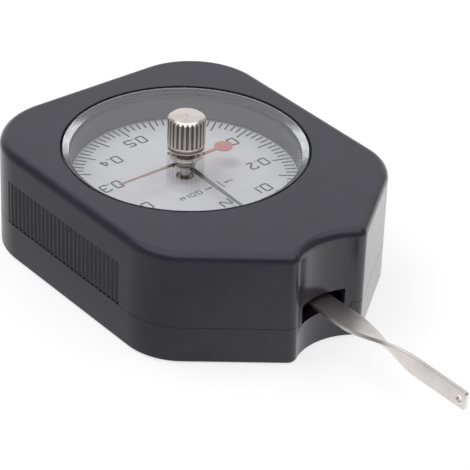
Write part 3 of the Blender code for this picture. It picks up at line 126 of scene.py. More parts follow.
# Screws and their bosses
SCREW_PLACES = [(side * x, y) for side in (-1, 1) for x, y in ((0.0216, 0.0234), (0.0245, -0.0240))]
BOSS_RADIUS = 0.0032
BOSS_DROP = 0.0004
SCREW_RADIUS = 0.0010
SCREW_HEAD_RADIUS = 0.0021
SCREW_HEAD_BOTTOM = 0.0006
SCREW_HEAD_TOP = 0.0019
SCREW_END = 0.0164
CROSS_WIDTH = 0.0006
CROSS_DEPTH = 0.0006
CROSS_REACH_SHARE = 0.55
SCREW_ROUND = 0.0002
POST_PLACES = [(0.0, 0.0110), (-0.0160, -0.0140), (0.0160, -0.0140)]
POST_RADIUS = 0.0022
POST_TOP = 0.0030
POST_HOLE = 0.0010
POST_HOLE_DEPTH = 0.0022

# Ribbed grips
GRIP_RIBS = 28
GRIP_LENGTH = 0.0373
GRIP_TOP = 0.0174
GROOVE_DEPTH = 0.0003
RIB_SAMPLES = 12
GRIP_END = ((0.00008, 1.0), (0.00002, 0.25), (0.0, 0.0))

# Lever slot
SLOT_HALF = 0.0053
SLOT_TOP = 0.0111
SLOT_BACK = -0.03786

# Feeler lever
PIVOT_REACH = 0.0320
LEVER_MIDDLE = 0.0099
LEVER_WIDTH = 0.0052
LEVER_TIP_WIDTH = 0.0039
LEVER_THICKNESS = 0.0008
LEVER_TAIL = 0.0060
LEVER_REACH = 0.0503
TWIST_START = 0.0185
TWIST_END = 0.0385
TWIST_STEPS = 90
LEVER_CORNER = 0.0008
LEVER_EDGE = 0.00014
TIP_HOLE_RADIUS = 0.00065
TIP_HOLE_RIM = 0.00012
TIP_HOLE_INSET = 0.0018
AXLE_HOLE = 0.0013
RIVET_HOLE = 0.0009
RIVET_OFFSET = 0.0030

# Knob
KNOB_BOTTOM = 0.02374
KNOB_TOP = 0.0307
KNOB_RADIUS = 0.00375
KNOB_FLANGE_RADIUS = 0.00385
KNOB_FLANGE_TOP = 0.02398
KNOB_NECK_RADIUS = 0.00335
KNOB_BODY_BOTTOM = 0.02438
KNOB_RING_TOP = 0.02482
KNOB_CROWN_WIDTH = 0.0007
KNOB_CROWN_HEIGHT = 0.00056
KNOB_FLUTES = 24
FLUTE_RADIUS = 0.00021
FLUTE_CENTRE = 0.00366
FLUTE_EASE = 0.00004
FLUTE_SAMPLES = 9
FLUTE_PHASE = math.radians(-2.7)
KNOB_RECESS_RADIUS = 0.0028
KNOB_RECESS_TOP = 0.0248
KNOB_BORE = 0.00105
KNOB_BORE_TOP = 0.0291
CAP_DIMPLE = 0.00022
DIMPLE_FLOOR_SHARE = 0.55
DIMPLE_DEPTH_SHARE = 0.545
CROWN_SHARES = (0.06, 0.3, 0.55, 0.8, 0.94, 1.0)
CROWN_POWER = 1.25
CROWN_EDGE_SHARE = 0.98
KNOB_RING_LINE = 0.00006
KNOB_FOOT = 0.0001
KNOB_FLANGE_ROUND = 0.00012

# Spindle, bush and nut
TURNED_ROUND = 0.0001
SPINDLE_RADIUS = 0.00075
SPINDLE_TOP = 0.0288
SPINDLE_BOTTOM = 0.0190
BUSH_RADIUS = 0.0015
BUSH_BORE = 0.00105
BUSH_HEAD_RADIUS = 0.0025
BUSH_HEAD_BOTTOM = 0.0240
BUSH_HEAD_TOP = 0.0245
BUSH_BOTTOM = 0.0202
NUT_RADIUS = 0.0033
NUT_BOTTOM = 0.0203
NUT_TOP = 0.0212
NUT_ROUND = 0.00012
NUT_GROOVE = 0.02072
NUT_GROOVE_HALF = 0.0001
NUT_GROOVE_DEPTH = 0.00012

# Pointers and hubs
POINTER_BOTTOM = 0.01825
POINTER_TOP = 0.01855
POINTER_HEADING = math.radians(-2.3)
POINTER_LENGTH = 0.0200
POINTER_TAIL = 0.0055
POINTER_ROOT = 0.0011
POINTER_TIP = 0.0005
POINTER_EYE = 0.0020
POINTER_HOLE = 0.0014
POINTER_ROUND = 0.00005
HUB_TOP = 0.0187
HUB_BORE = 0.0008
HUB_SLEEVE = 0.0011
HUB_RADIUS = 0.0016
HUB_FLANGE_TOP = 0.01795
HUB_FLANGE_BOTTOM = 0.0177
HUB_BOTTOM = 0.0162
DRAG_BOTTOM = 0.0192
DRAG_TOP = 0.0194
DRAG_LENGTH = 0.0161
DRAG_ROOT = 0.0008
DRAG_TIP = 0.0004
DRAG_DISC_RADIUS = 0.0019
DRAG_DISC_REACH = 0.0095
DRAG_HOLE = 0.00175
DRAG_EYE = 0.00225
DRAG_TAB_REACH = 0.0030
DRAG_TAB_WIDTH = 0.0006
DRAG_TAB_THICKNESS = 0.0002
DRAG_TAB_BOTTOM = 0.01885
DRAG_HUB_FLANGE = 0.0024
DRAG_HUB_FLANGE_TOP = 0.0199
DRAG_HUB_FLANGE_BOTTOM = 0.0197
DRAG_HUB_SLEEVE = 0.00145

# Dial print
PRINT_HEIGHT = 0.00003
TICKS = 100
TICK_OUTER = 0.0224
TICK_INNER = 0.0202
LONG_TICK_INNER = 0.0186
LONG_TICK_EVERY = 5
TICK_WIDTH = 0.00035
DIGIT_WIDTH = 0.0016
DIGIT_HEIGHT = 0.0024
DIGIT_STROKE = 0.00038
DIGIT_ROUND = 0.00035
FIGURE_POINT = 0.00225
FIGURE_STEP = 0.0029
ARROW_HEAD = 0.0010
ARROW_HALF = 0.00036
ARROW_STROKE = 0.00026
SMALL_STROKE = 0.00022
SMALL_DOT = 0.00024


# Mesh makers

def new_object(name, mesh):
    thing = bpy.data.objects.new(name, mesh)
    bpy.context.scene.collection.objects.link(thing)
    return thing


def from_bmesh(name, work):
    """A mesh object from a bmesh, welded and with its faces turned outwards."""
    bmesh.ops.remove_doubles(work, verts=work.verts, dist=WELD)
    bmesh.ops.recalc_face_normals(work, faces=work.faces)
    mesh = bpy.data.meshes.new(name)
    work.to_mesh(mesh)
    work.free()
    return new_object(name, mesh)


def loft(name, rows):
    """A closed solid through rows of points; a row of one point is a pole."""
    work = bmesh.new()
    rings = [[work.verts.new(point) for point in row] for row in rows]
    for low, high in zip(rings, rings[1:]):
        count = max(len(low), len(high))
        for i in range(count):
            j = (i + 1) % count
            corners = [low[i % len(low)], low[j % len(low)], high[j % len(high)], high[i % len(high)]]
            corners = [c for k, c in enumerate(corners) if c not in corners[:k]]
            work.faces.new(corners)
    for ring in (rings[0], rings[-1]):
        if len(ring) > 1:
            work.faces.new(ring)
    return from_bmesh(name, work)


def lathe(name, profile, steps=96, at=(0.0, 0.0)):
    """A turned solid from a profile of radius and height; a profile clear of the axis is a ring."""
    closed = profile[0][0] > 0.0 or profile[-1][0] > 0.0
    work = bmesh.new()
    rings = []
    for radius, height in profile:
        count = steps if radius > 0.0 else 1
        angles = [2 * math.pi * i / steps for i in range(count)]
        rings.append([work.verts.new((at[0] + radius * math.cos(a), at[1] + radius * math.sin(a), height))
                      for a in angles])
    pairs = list(zip(rings, rings[1:]))
    if closed:
        pairs.append((rings[-1], rings[0]))
    for low, high in pairs:
        if len(low) == len(high) == 1:
            continue
        for i in range(steps):
            j = (i + 1) % steps
            corners = [low[i % len(low)], low[j % len(low)], high[j % len(high)], high[i % len(high)]]
            corners = [c for k, c in enumerate(corners) if c not in corners[:k]]
            work.faces.new(corners)
    return from_bmesh(name, work)


def rounded(points, radius, closed=True, steps=4):
    """A path of plane points with its corners eased by a radius, or by as much as fits."""
    result = []
    count = len(points)
    for i, point in enumerate(points):
        here = Vector(point)
        if not closed and i in (0, count - 1):
            result.append(tuple(here))
            continue
        before = Vector(points[i - 1]) - here
        after = Vector(points[(i + 1) % count]) - here
        turn = math.pi - before.angle(after)
        if turn < 0.05:
            result.append(tuple(here))
            continue
        reach = min(radius * math.tan(turn / 2), before.length * 0.49, after.length * 0.49)
        start = here + before.normalized() * reach
        end = here + after.normalized() * reach
        for k in range(steps + 1):
            t = k / steps
            spot = start * (1 - t) ** 2 + here * (2 * t * (1 - t)) + end * t ** 2
            result.append(tuple(spot))
    return result


def plate(name, loops, bottom, top, fillet=0.0):
    """A flat solid whose outline and holes are closed loops; a fillet stands out round them."""
    curve = bpy.data.curves.new(name, "CURVE")
    curve.dimensions = "2D"
    curve.fill_mode = "BOTH"
    curve.extrude = (top - bottom) / 2 - fillet
    curve.bevel_depth = fillet
    curve.bevel_resolution = 2
    for loop in loops:
        spline = curve.splines.new("POLY")
        spline.points.add(len(loop) - 1)
        for point, (x, y) in zip(spline.points, loop):
            point.co = (x, y, 0, 1)
        spline.use_cyclic_u = True
    thing = new_object(name, curve)
    thing.location.z = (bottom + top) / 2
    return evaluated(thing)


def evaluated(source):
    """The shape of an object with its modifiers and place applied, as a mesh that takes its place."""
    bpy.context.view_layer.update()
    graph = bpy.context.evaluated_depsgraph_get()
    mesh = bpy.data.meshes.new_from_object(source.evaluated_get(graph), depsgraph=graph)
    mesh.transform(source.matrix_world)
    name = source.name
    bpy.data.objects.remove(source, do_unlink=True)
    work = bmesh.new()
    work.from_mesh(mesh)
    return from_bmesh(name, work)


def bars(name, cylinders, sides=48):
    """Upright cylinders in one object; each is radius, bottom, top and place."""
    work = bmesh.new()
    for radius, bottom, top, (x, y) in cylinders:
        spot = Matrix.Translation((x, y, (bottom + top) / 2))
        bmesh.ops.create_cone(work, cap_ends=True, segments=sides, radius1=radius, radius2=radius,
                              depth=top - bottom, matrix=spot)
    return from_bmesh(name, work)


def block(name, low, high):
    work = bmesh.new()
    low, high = Vector(low), Vector(high)
    spot = Matrix.Translation((low + high) / 2) @ Matrix.Diagonal((*(high - low), 1))
    bmesh.ops.create_cube(work, size=1, matrix=spot)
    return from_bmesh(name, work)


def boolean(thing, operation, tool):
    """Cut, join or intersect with a tool, which is used up."""
    change = thing.modifiers.new(operation.lower(), "BOOLEAN")
    change.operation = operation
    change.solver = "EXACT"
    change.object = tool
    thing = evaluated(thing)
    bpy.data.objects.remove(tool, do_unlink=True)
    return thing


def cut(thing, tool):
    return boolean(thing, "DIFFERENCE", tool)


def join(thing, tool):
    return boolean(thing, "UNION", tool)


def place(thing, material, body, slot, *nodes):
    """Give a piece its material, crisp smooth shading, its body and the nodes it replaces; slot is not used.
    """
    mesh = thing.data
    mesh.materials.clear()
    mesh.materials.append(material)
    mesh.shade_smooth()
    mesh.set_sharp_from_angle(angle=SHARP_ANGLE)
    normals = thing.modifiers.new("even_faces", "WEIGHTED_NORMAL")
    normals.keep_sharp = True
    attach(thing, body)
    if nodes:
        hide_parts(*nodes)
    return thing


def also(thing, material, chosen):
    """Give a second material to the faces of a piece that a test of centre and normal chooses."""
    thing.data.materials.append(material)
    index = len(thing.data.materials) - 1
    for face in thing.data.polygons:
        if chosen(face.center, face.normal):
            face.material_index = index


# Material makers

def start_material(name, colour, roughness, metallic=0.0):
    """A Principled material, with its nodes, links and shader to build on."""
    material = bpy.data.materials.new(name)
    material.use_nodes = True
    tree = material.node_tree
    shader = tree.nodes["Principled BSDF"]
    shader.inputs["Base Color"].default_value = (*colour, 1.0)
    shader.inputs["Roughness"].default_value = roughness
    shader.inputs["Metallic"].default_value = metallic
    return material, tree, shader


def object_space(tree, scale=(1.0, 1.0, 1.0)):
    """Object coordinates, scaled per axis."""
    mapping = tree.nodes.new("ShaderNodeMapping")
    mapping.inputs["Scale"].default_value = scale
    tree.links.new(coordinate(tree), mapping.inputs["Vector"])
    return mapping.outputs["Vector"]


def feed(tree, socket, value):
    """Link an output to a socket, or set the socket to a constant."""
    if isinstance(value, bpy.types.NodeSocket):
        tree.links.new(value, socket)
    else:
        socket.default_value = value


def maths(tree, operation, first, second):
    node = tree.nodes.new("ShaderNodeMath")
    node.operation = operation
    feed(tree, node.inputs[0], first)
    feed(tree, node.inputs[1], second)
    return node.outputs["Value"]


def measure(tree, vector, axis=None):
    """A vector's length, or how far it reaches along an axis."""
    node = tree.nodes.new("ShaderNodeVectorMath")
    node.operation = "DOT_PRODUCT" if axis else "LENGTH"
    tree.links.new(vector, node.inputs[0])
    if axis:
        node.inputs[1].default_value = axis
    return node.outputs["Value"]


def mixed(tree, factor, low, high, kind="FLOAT"):
    """Blend two numbers or two colours, each a constant or an output, by a factor."""
    node = tree.nodes.new("ShaderNodeMix")
    node.data_type = kind
    feed(tree, node.inputs["Factor"], factor)
    feed(tree, node.inputs["A"], low)
    feed(tree, node.inputs["B"], high)
    return node.outputs["Result"]


def coordinate(tree, kind="Object"):
    return tree.nodes.new("ShaderNodeTexCoord").outputs[kind]


def apart(tree, vector):
    """The three coordinates of a vector."""
    split = tree.nodes.new("ShaderNodeSeparateXYZ")
    tree.links.new(vector, split.inputs["Vector"])
    return [split.outputs[name] for name in "XYZ"]


def from_axis(tree):
    """How far a place is from the dial's axis."""
    across, along, up = apart(tree, coordinate(tree))
    flat = tree.nodes.new("ShaderNodeCombineXYZ")
    tree.links.new(across, flat.inputs["X"])
    tree.links.new(along, flat.inputs["Y"])
    return measure(tree, flat.outputs["Vector"])


def turned_space(tree, scale):
    """Coordinates that only vary with the distance from the dial's axis and the height."""
    joined = tree.nodes.new("ShaderNodeCombineXYZ")
    tree.links.new(maths(tree, "MULTIPLY", from_axis(tree), scale), joined.inputs["X"])
    tree.links.new(maths(tree, "MULTIPLY", apart(tree, coordinate(tree))[2], scale), joined.inputs["Z"])
    return joined.outputs["Vector"]


def noise(tree, space, scale, detail=3.0):
    texture = tree.nodes.new("ShaderNodeTexNoise")
    texture.inputs["Scale"].default_value = scale
    texture.inputs["Detail"].default_value = detail
    tree.links.new(space, texture.inputs["Vector"])
    return texture.outputs["Fac"]


def remap(tree, value, low, high, start=0.3, end=0.7, kind="LINEAR"):
    """A value between start and end mapped to low and high."""
    node = tree.nodes.new("ShaderNodeMapRange")
    node.interpolation_type = kind
    node.inputs["From Min"].default_value = start
    node.inputs["From Max"].default_value = end
    node.inputs["To Min"].default_value = low
    node.inputs["To Max"].default_value = high
    tree.links.new(value, node.inputs["Value"])
    return node.outputs["Result"]


def vary_colour(tree, shader, value, low, high):
    """Mix the base colour between two colours by a value."""
    result = mixed(tree, value, (*low, 1.0), (*high, 1.0), "RGBA")
    tree.links.new(result, shader.inputs["Base Color"])
    return result


def add_bump(tree, shader, height, distance, strength=1.0):
    bump = tree.nodes.new("ShaderNodeBump")
    bump.inputs["Distance"].default_value = distance
    bump.inputs["Strength"].default_value = strength
    tree.links.new(height, bump.inputs["Height"])
    tree.links.new(bump.outputs["Normal"], shader.inputs["Normal"])
    return bump


def tinted(colour, factor):
    return tuple(min(channel * factor, 1.0) for channel in colour)


def plastic():
    """Dark grey moulded plastic: fine matt grain, faint mottling and a few pale specks of dust."""
    colour = (0.0135, 0.0125, 0.0205)
    material, tree, shader = start_material("case_plastic_look", colour, 0.25)
    space = object_space(tree)
    cloud = noise(tree, space, 220.0)
    cloud = remap(tree, cloud, 0.0, 1.0)
    mottled = vary_colour(tree, shader, cloud, tinted(colour, 0.85), tinted(colour, 1.15))
    cells = tree.nodes.new("ShaderNodeTexVoronoi")
    cells.inputs["Scale"].default_value = 620.0
    tree.links.new(space, cells.inputs["Vector"])
    split = tree.nodes.new("ShaderNodeSeparateColor")
    tree.links.new(cells.outputs["Color"], split.inputs["Color"])
    rare = remap(tree, split.outputs["Red"], 0.0, 1.0, 0.972, 0.98)
    small = remap(tree, cells.outputs["Distance"], 1.0, 0.0, 0.04, 0.10)
    dusty = mixed(tree, maths(tree, "MULTIPLY", rare, small), mottled, (0.16, 0.16, 0.17, 1.0), "RGBA")
    tree.links.new(dusty, shader.inputs["Base Color"])
    grain = noise(tree, space, 4200.0, 2.0)
    tree.links.new(remap(tree, grain, 0.19, 0.24), shader.inputs["Roughness"])
    add_bump(tree, shader, grain, 0.000009)
    return material


def metal(name, colour, roughness, space_maker, grain_scale=1.0, spread=0.06, distance=0.000002,
          darker=0.85):
    """Bare or plated metal whose fine marks follow a space: brushed, drawn or turned."""
    material, tree, shader = start_material(name, colour, roughness, 1.0)
    marks = noise(tree, space_maker(tree), grain_scale, 4.0)
    tree.links.new(remap(tree, marks, roughness - spread / 2, roughness + spread), shader.inputs["Roughness"])
    cloud = noise(tree, object_space(tree), 300.0)
    vary_colour(tree, shader, remap(tree, cloud, 0.0, 1.0), tinted(colour, darker), colour)
    add_bump(tree, shader, marks, distance)
    return material


def paint(name, colour, roughness, grain_scale=5000.0, distance=0.000003, spread=0.08, even=0.94):
    """Satin paint with a trace of orange peel."""
    material, tree, shader = start_material(name, colour, roughness)
    space = object_space(tree)
    cloud = noise(tree, space, 260.0)
    vary_colour(tree, shader, remap(tree, cloud, 0.0, 1.0), tinted(colour, even), colour)
    peel = noise(tree, space, grain_scale, 2.0)
    gloss = remap(tree, peel, roughness - spread / 2, roughness + spread / 2)
    tree.links.new(gloss, shader.inputs["Roughness"])
    add_bump(tree, shader, peel, distance)
    return material


def any_of(tree, *values):
    """The largest of several factors."""
    result = values[0]
    for value in values[1:]:
        result = maths(tree, "MAXIMUM", result, value)
    return result


def let_light_through(tree, shader):
    """Make a surface pass shadow and diffuse rays, so that what lies under it is lit as in open air."""
    paths = tree.nodes.new("ShaderNodeLightPath")
    through = tree.nodes.new("ShaderNodeBsdfTransparent")
    through.inputs["Color"].default_value = (0.935, 0.935, 0.94, 1.0)
    mix = tree.nodes.new("ShaderNodeMixShader")
    output = tree.nodes["Material Output"]
    soft = any_of(tree, paths.outputs["Is Shadow Ray"], paths.outputs["Is Diffuse Ray"])
    tree.links.new(soft, mix.inputs["Fac"])
    tree.links.new(shader.outputs["BSDF"], mix.inputs[1])
    tree.links.new(through.outputs["BSDF"], mix.inputs[2])
    tree.links.new(mix.outputs["Shader"], output.inputs["Surface"])


def cutter_marks(tree):
    return noise(tree, object_space(tree, (900.0, 900.0, 16000.0)), 1.0)


def clear_acrylic(name, colour, weight, roughness_maker):
    """Clear acrylic, more or less polished."""
    material, tree, shader = start_material(name, colour, 0.0)
    shader.inputs["IOR"].default_value = 1.49
    shader.inputs["Transmission Weight"].default_value = weight
    tree.links.new(roughness_maker(tree), shader.inputs["Roughness"])
    let_light_through(tree, shader)
    return material


def satin_finish(tree):
    return remap(tree, cutter_marks(tree), 0.12, 0.16)


def polished_finish(tree):
    return remap(tree, noise(tree, object_space(tree), 90.0), 0.0, 0.012)


def ground_edge():
    """The lens's rim, left matt by the cutter: pale, with fine marks round it."""
    material, tree, shader = start_material("ground_acrylic_look", (0.80, 0.81, 0.82), 0.6)
    marks = cutter_marks(tree)
    vary_colour(tree, shader, remap(tree, marks, 0.0, 1.0), (0.66, 0.67, 0.68), (0.86, 0.87, 0.88))
    add_bump(tree, shader, marks, 0.000004)
    let_light_through(tree, shader)
    return material


def pointer_paint(name, root, blade, disc, knob_shade_reach, metal_reach):
    """Satin paint on a pointer: bare metal at its eye, painted shade of the knob darkening it near the hub,
    and paler along the blade.
    """
    material, tree, shader = start_material(name, disc, 0.42)
    across, along, up = apart(tree, coordinate(tree))
    blade_end = remap(tree, maths(tree, "ADD", across, along), 1.0, 0.0, -0.003, 0.003)
    side = vary_colour(tree, shader, blade_end, disc, blade)
    away = from_axis(tree)
    # Painted shade: near the hub the paint darkens to the root colour, where the knob's shade falls.
    in_knob_shade = remap(tree, away, 1.0, 0.0, *knob_shade_reach)
    with_knob_shade = mixed(tree, in_knob_shade, side, (*root, 1.0), "RGBA")
    eye = remap(tree, away, 1.0, 0.0, *metal_reach)
    bare = mixed(tree, eye, with_knob_shade, (0.66, 0.63, 0.60, 1.0), "RGBA")
    tree.links.new(bare, shader.inputs["Base Color"])
    tree.links.new(eye, shader.inputs["Metallic"])
    peel = noise(tree, object_space(tree), 5000.0, 2.0)
    tree.links.new(remap(tree, peel, 0.34, 0.46), shader.inputs["Roughness"])
    add_bump(tree, shader, peel, 0.000002)
    return material


def along_y(tree):
    return object_space(tree, (9000.0, 260.0, 9000.0))


def about_axis(tree):
    return turned_space(tree, 9000.0)


def all_round(tree):
    return object_space(tree, (3500.0, 3500.0, 3500.0))


LOOKS = {
    "case_plastic": plastic(),
    "clear_acrylic": clear_acrylic("clear_acrylic_look", (0.97, 0.98, 0.985), 1.0, polished_finish),
    "seal_rubber": paint("seal_rubber_look", (0.03, 0.03, 0.03), 0.7),
    "dial_silver": paint("dial_silver_look", (0.675, 0.675, 0.688), 0.5, 6000.0, 0.000002),
    "brass": metal("brass_look", (0.72, 0.55, 0.28), 0.30, along_y),
    "steel": metal("steel_look", (0.62, 0.62, 0.63), 0.26, all_round),
    "nickel": metal("nickel_look", (0.70, 0.665, 0.63), 0.34, along_y, distance=0.0000004),
    "screw_black": metal("screw_black_look", (0.07, 0.07, 0.075), 0.38, all_round),
    "spring_bronze": metal("spring_bronze_look", (0.60, 0.42, 0.26), 0.30, all_round),
    # Each pointer's first colour is painted shade near the hub, and the first pair of reaches is where that
    # shade fades.
    "pointer_black": pointer_paint("pointer_black_look", (0.012, 0.012, 0.012), (0.085, 0.083, 0.082),
                                   (0.02, 0.02, 0.02), (0.0055, 0.0085), (0.0021, 0.0022)),
    "pointer_red": pointer_paint("pointer_red_look", (0.035, 0.025, 0.025), (0.33, 0.17, 0.165),
                                 (0.50, 0.155, 0.15), (0.0036, 0.0052), (0.0025, 0.0026)),
}
TURNED_NICKEL = metal("turned_nickel_look", (0.755, 0.71, 0.655), 0.12, about_axis, distance=0.0000006)
# Painted highlight: nickel brighter than the knob's own, and rougher, for the lands between the flutes.
LAND_HIGHLIGHT_NICKEL = metal("land_highlight_nickel_look", (0.95, 0.90, 0.84), 0.36, all_round, distance=0.000001)
# Painted shade: a dark copy of the knob's nickel for the hollows of the flutes.
FLUTE_SHADE_NICKEL = metal("flute_shade_nickel_look", (0.40, 0.365, 0.33), 0.30, all_round, distance=0.000002)
# Brass made much darker, a dull brown-grey, for the front pinion bush.
DARKENED_BRASS = metal("darkened_brass_look", (0.26, 0.235, 0.20), 0.35, about_axis, distance=0.000001)
# Painted shade: a darker copy of the knob's nickel for its neck above the lens.
NECK_SHADE_NICKEL = metal("neck_shade_nickel_look", (0.55, 0.51, 0.47), 0.22, about_axis, distance=0.000001)
DIAL_INK = paint("dial_ink_look", (0.02, 0.02, 0.022), 0.55)
SMOOTH_PLASTIC = paint("smooth_plastic_look", (0.020, 0.019, 0.027), 0.05, 900.0, 0.0000001, 0.02, 0.85)
SATIN_BEVEL = clear_acrylic("satin_acrylic_look", (0.97, 0.975, 0.98), 0.9, satin_finish)
GROUND_EDGE = ground_edge()


# The case

def arc(centre, radius, start, end, steps):
    angles = [start + (end - start) * i / steps for i in range(steps + 1)]
    return [(centre[0] + radius * math.cos(a), centre[1] + radius * math.sin(a)) for a in angles]


def smooth(t):
    t = min(max(t, 0.0), 1.0)
    return t * t * (3 - 2 * t)


def groove_share(y):
    """How deep a grip is at a place along the side: 1 in a groove's floor and 0 on a rib."""
    pitch = GRIP_LENGTH / GRIP_RIBS
    along = (y + GRIP_LENGTH / 2) / pitch
    if along < 0.0 or along > GRIP_RIBS:
        return 0.0
    return 0.5 - 0.5 * math.cos(2 * math.pi * along)


def side_stations():
    """Places along the side wall, close together over the ribs."""
    pitch = GRIP_LENGTH / GRIP_RIBS
    return [i * pitch / RIB_SAMPLES - GRIP_LENGTH / 2 for i in range(GRIP_RIBS * RIB_SAMPLES + 1)]


def case_loop(inset=0.0, groove=0.0, breaks=()):
    """The case's plan as points, moved inwards by inset; breaks are half widths of steps in the notch."""
    along = Vector((-math.cos(CHEEK_ANGLE), -math.sin(CHEEK_ANGLE)))
    inward = Vector((-math.sin(CHEEK_ANGLE), math.cos(CHEEK_ANGLE)))
    shoulder = Vector((BODY_WIDTH / 2, -SHOULDER_REACH))
    notch_centre = Vector((0.0, -NOTCH_REACH - NOTCH_RADIUS))
    notch_radius = NOTCH_RADIUS + inset
    tip_radius = max(TIP_RADIUS - inset, 0.0)
    reach = notch_radius + tip_radius
    start = shoulder + inward * (inset + tip_radius) - notch_centre
    middle = start.dot(along)
    travel = -middle - math.sqrt(max(middle ** 2 - start.length_squared + reach ** 2, 0.0))
    tip_centre = notch_centre + start + along * travel
    to_tip = tip_centre - notch_centre
    tip_angle = math.atan2(to_tip.y, to_tip.x)
    angles = [math.pi / 2 + (tip_angle - math.pi / 2) * i / NOTCH_STEPS for i in range(NOTCH_STEPS + 1)]
    for half_width in breaks:
        for offset in (-STEP_WIDTH / 2, STEP_WIDTH / 2):
            angles.append(math.acos((half_width + offset) / notch_radius))
    half = [(notch_radius * math.cos(a), notch_centre.y + notch_radius * math.sin(a))
            for a in sorted(angles, reverse=True)]
    half[0] = (0.0, half[0][1])
    half += arc(tip_centre, tip_radius, tip_angle - math.pi, CHEEK_ANGLE - math.pi / 2, TIP_STEPS)[1:]
    turn = math.pi / 2 - CHEEK_ANGLE
    tangent = SHOULDER_RADIUS * math.tan(turn / 2)
    shoulder_centre = (BODY_WIDTH / 2 - SHOULDER_RADIUS, tangent - SHOULDER_REACH)
    half += arc(shoulder_centre, SHOULDER_RADIUS - inset, -turn, 0.0, SHOULDER_STEPS)
    back_centre = (BODY_WIDTH / 2 - BACK_RADIUS, BACK_REACH - BACK_RADIUS)
    last = 0.0
    for y in side_stations():
        if y <= back_centre[1]:
            x, place_y = BODY_WIDTH / 2 - inset, y
        else:
            last = math.asin((y - back_centre[1]) / BACK_RADIUS)
            x = back_centre[0] + (BACK_RADIUS - inset) * math.cos(last)
            place_y = back_centre[1] + (BACK_RADIUS - inset) * math.sin(last)
        if groove:
            x = min(x, BODY_WIDTH / 2 - inset - GROOVE_DEPTH * groove * groove_share(y))
        half.append((x, place_y))
    half += arc(back_centre, BACK_RADIUS - inset, last, math.pi / 2, BACK_STEPS)[1:]
    return half + [(-x, y) for x, y in reversed(half) if x > WELD]


def ring_at(loop, height, step_half=0.0, step=0.0):
    """Points of a loop at a height; in the notch, within a half width, the height changes by step."""
    notch_end = -NOTCH_REACH + WALL
    return [(x, y, height + (step if abs(x) < step_half and y < notch_end else 0.0)) for x, y in loop]


def quarter(steps):
    """Sine and cosine pairs over a quarter turn."""
    angles = [math.pi / 2 * i / steps for i in range(steps + 1)]
    return [(math.sin(a), math.cos(a)) for a in angles]


def front_shell():
    breaks = (TONGUE_HALF,)
    drop = TONGUE_BOTTOM - FRONT_BOTTOM
    rows = []
    for sine, cosine in quarter(3):
        loop = case_loop(EDGE_ROUND * (1 - sine), 1.0, breaks)
        rows.append(ring_at(loop, FRONT_BOTTOM + EDGE_ROUND * (1 - cosine), TONGUE_HALF, drop))
    for below, groove in GRIP_END:
        rows.append(ring_at(case_loop(0.0, groove, breaks), GRIP_TOP - below))
    for sine, cosine in quarter(FILLET_STEPS):
        loop = case_loop(FILLET * (1 - cosine), 0.0, breaks)
        rows.append(ring_at(loop, BODY_HEIGHT - FILLET + FILLET * sine))
    thing = loft("front_shell", rows)
    low = TONGUE_BOTTOM - OVERRUN
    cavity = loft("cavity", [ring_at(case_loop(WALL), z) for z in (low, CEILING)])
    thing = cut(thing, cavity)
    rebate = loft("rebate", [ring_at(case_loop(REBATE_INSET), z) for z in (low, REBATE_TOP)])
    thing = cut(thing, rebate)
    adds = [(COLLAR_RADIUS, WELL_BOTTOM, CEILING + FILLET / 2, (0.0, 0.0))]
    thing = join(thing, bars("collar", adds, 160))
    bosses = [(BOSS_RADIUS, REBATE_TOP + GAP, CEILING + FILLET / 2, spot) for spot in SCREW_PLACES]
    thing = join(thing, bars("bosses", bosses, 32))
    well = [(0.0, WELL_BOTTOM - OVERRUN), (WELL_RADIUS, WELL_BOTTOM - OVERRUN), (WELL_RADIUS, WELL_BOTTOM),
            (WELL_TOP_RADIUS, LEDGE_HEIGHT),
            (WINDOW_RADIUS, LEDGE_HEIGHT)]
    well += [(WINDOW_RADIUS + WINDOW_ROUND * (1 - cosine), BODY_HEIGHT - WINDOW_ROUND * (1 - sine))
             for sine, cosine in quarter(4)]
    well += [(WINDOW_RADIUS + WINDOW_ROUND, BODY_HEIGHT + OVERRUN), (0.0, BODY_HEIGHT + OVERRUN)]
    thing = cut(thing, lathe("well", well, 200))
    pilots = [(SCREW_RADIUS + GAP, 0.0, SCREW_END + GAP, spot) for spot in SCREW_PLACES]
    thing = cut(thing, bars("pilots", pilots, 32))
    slot = block("slot", (-SLOT_HALF, -BODY_WIDTH, low), (SLOT_HALF, SLOT_BACK, SLOT_TOP))
    thing = cut(thing, slot)
    place(thing, LOOKS["case_plastic"], "housing", "case_plastic", "front_case")
    also(thing, SMOOTH_PLASTIC,
         lambda centre, normal: centre.xy.length < WELL_TOP_RADIUS and abs(normal.z) < UPRIGHT)


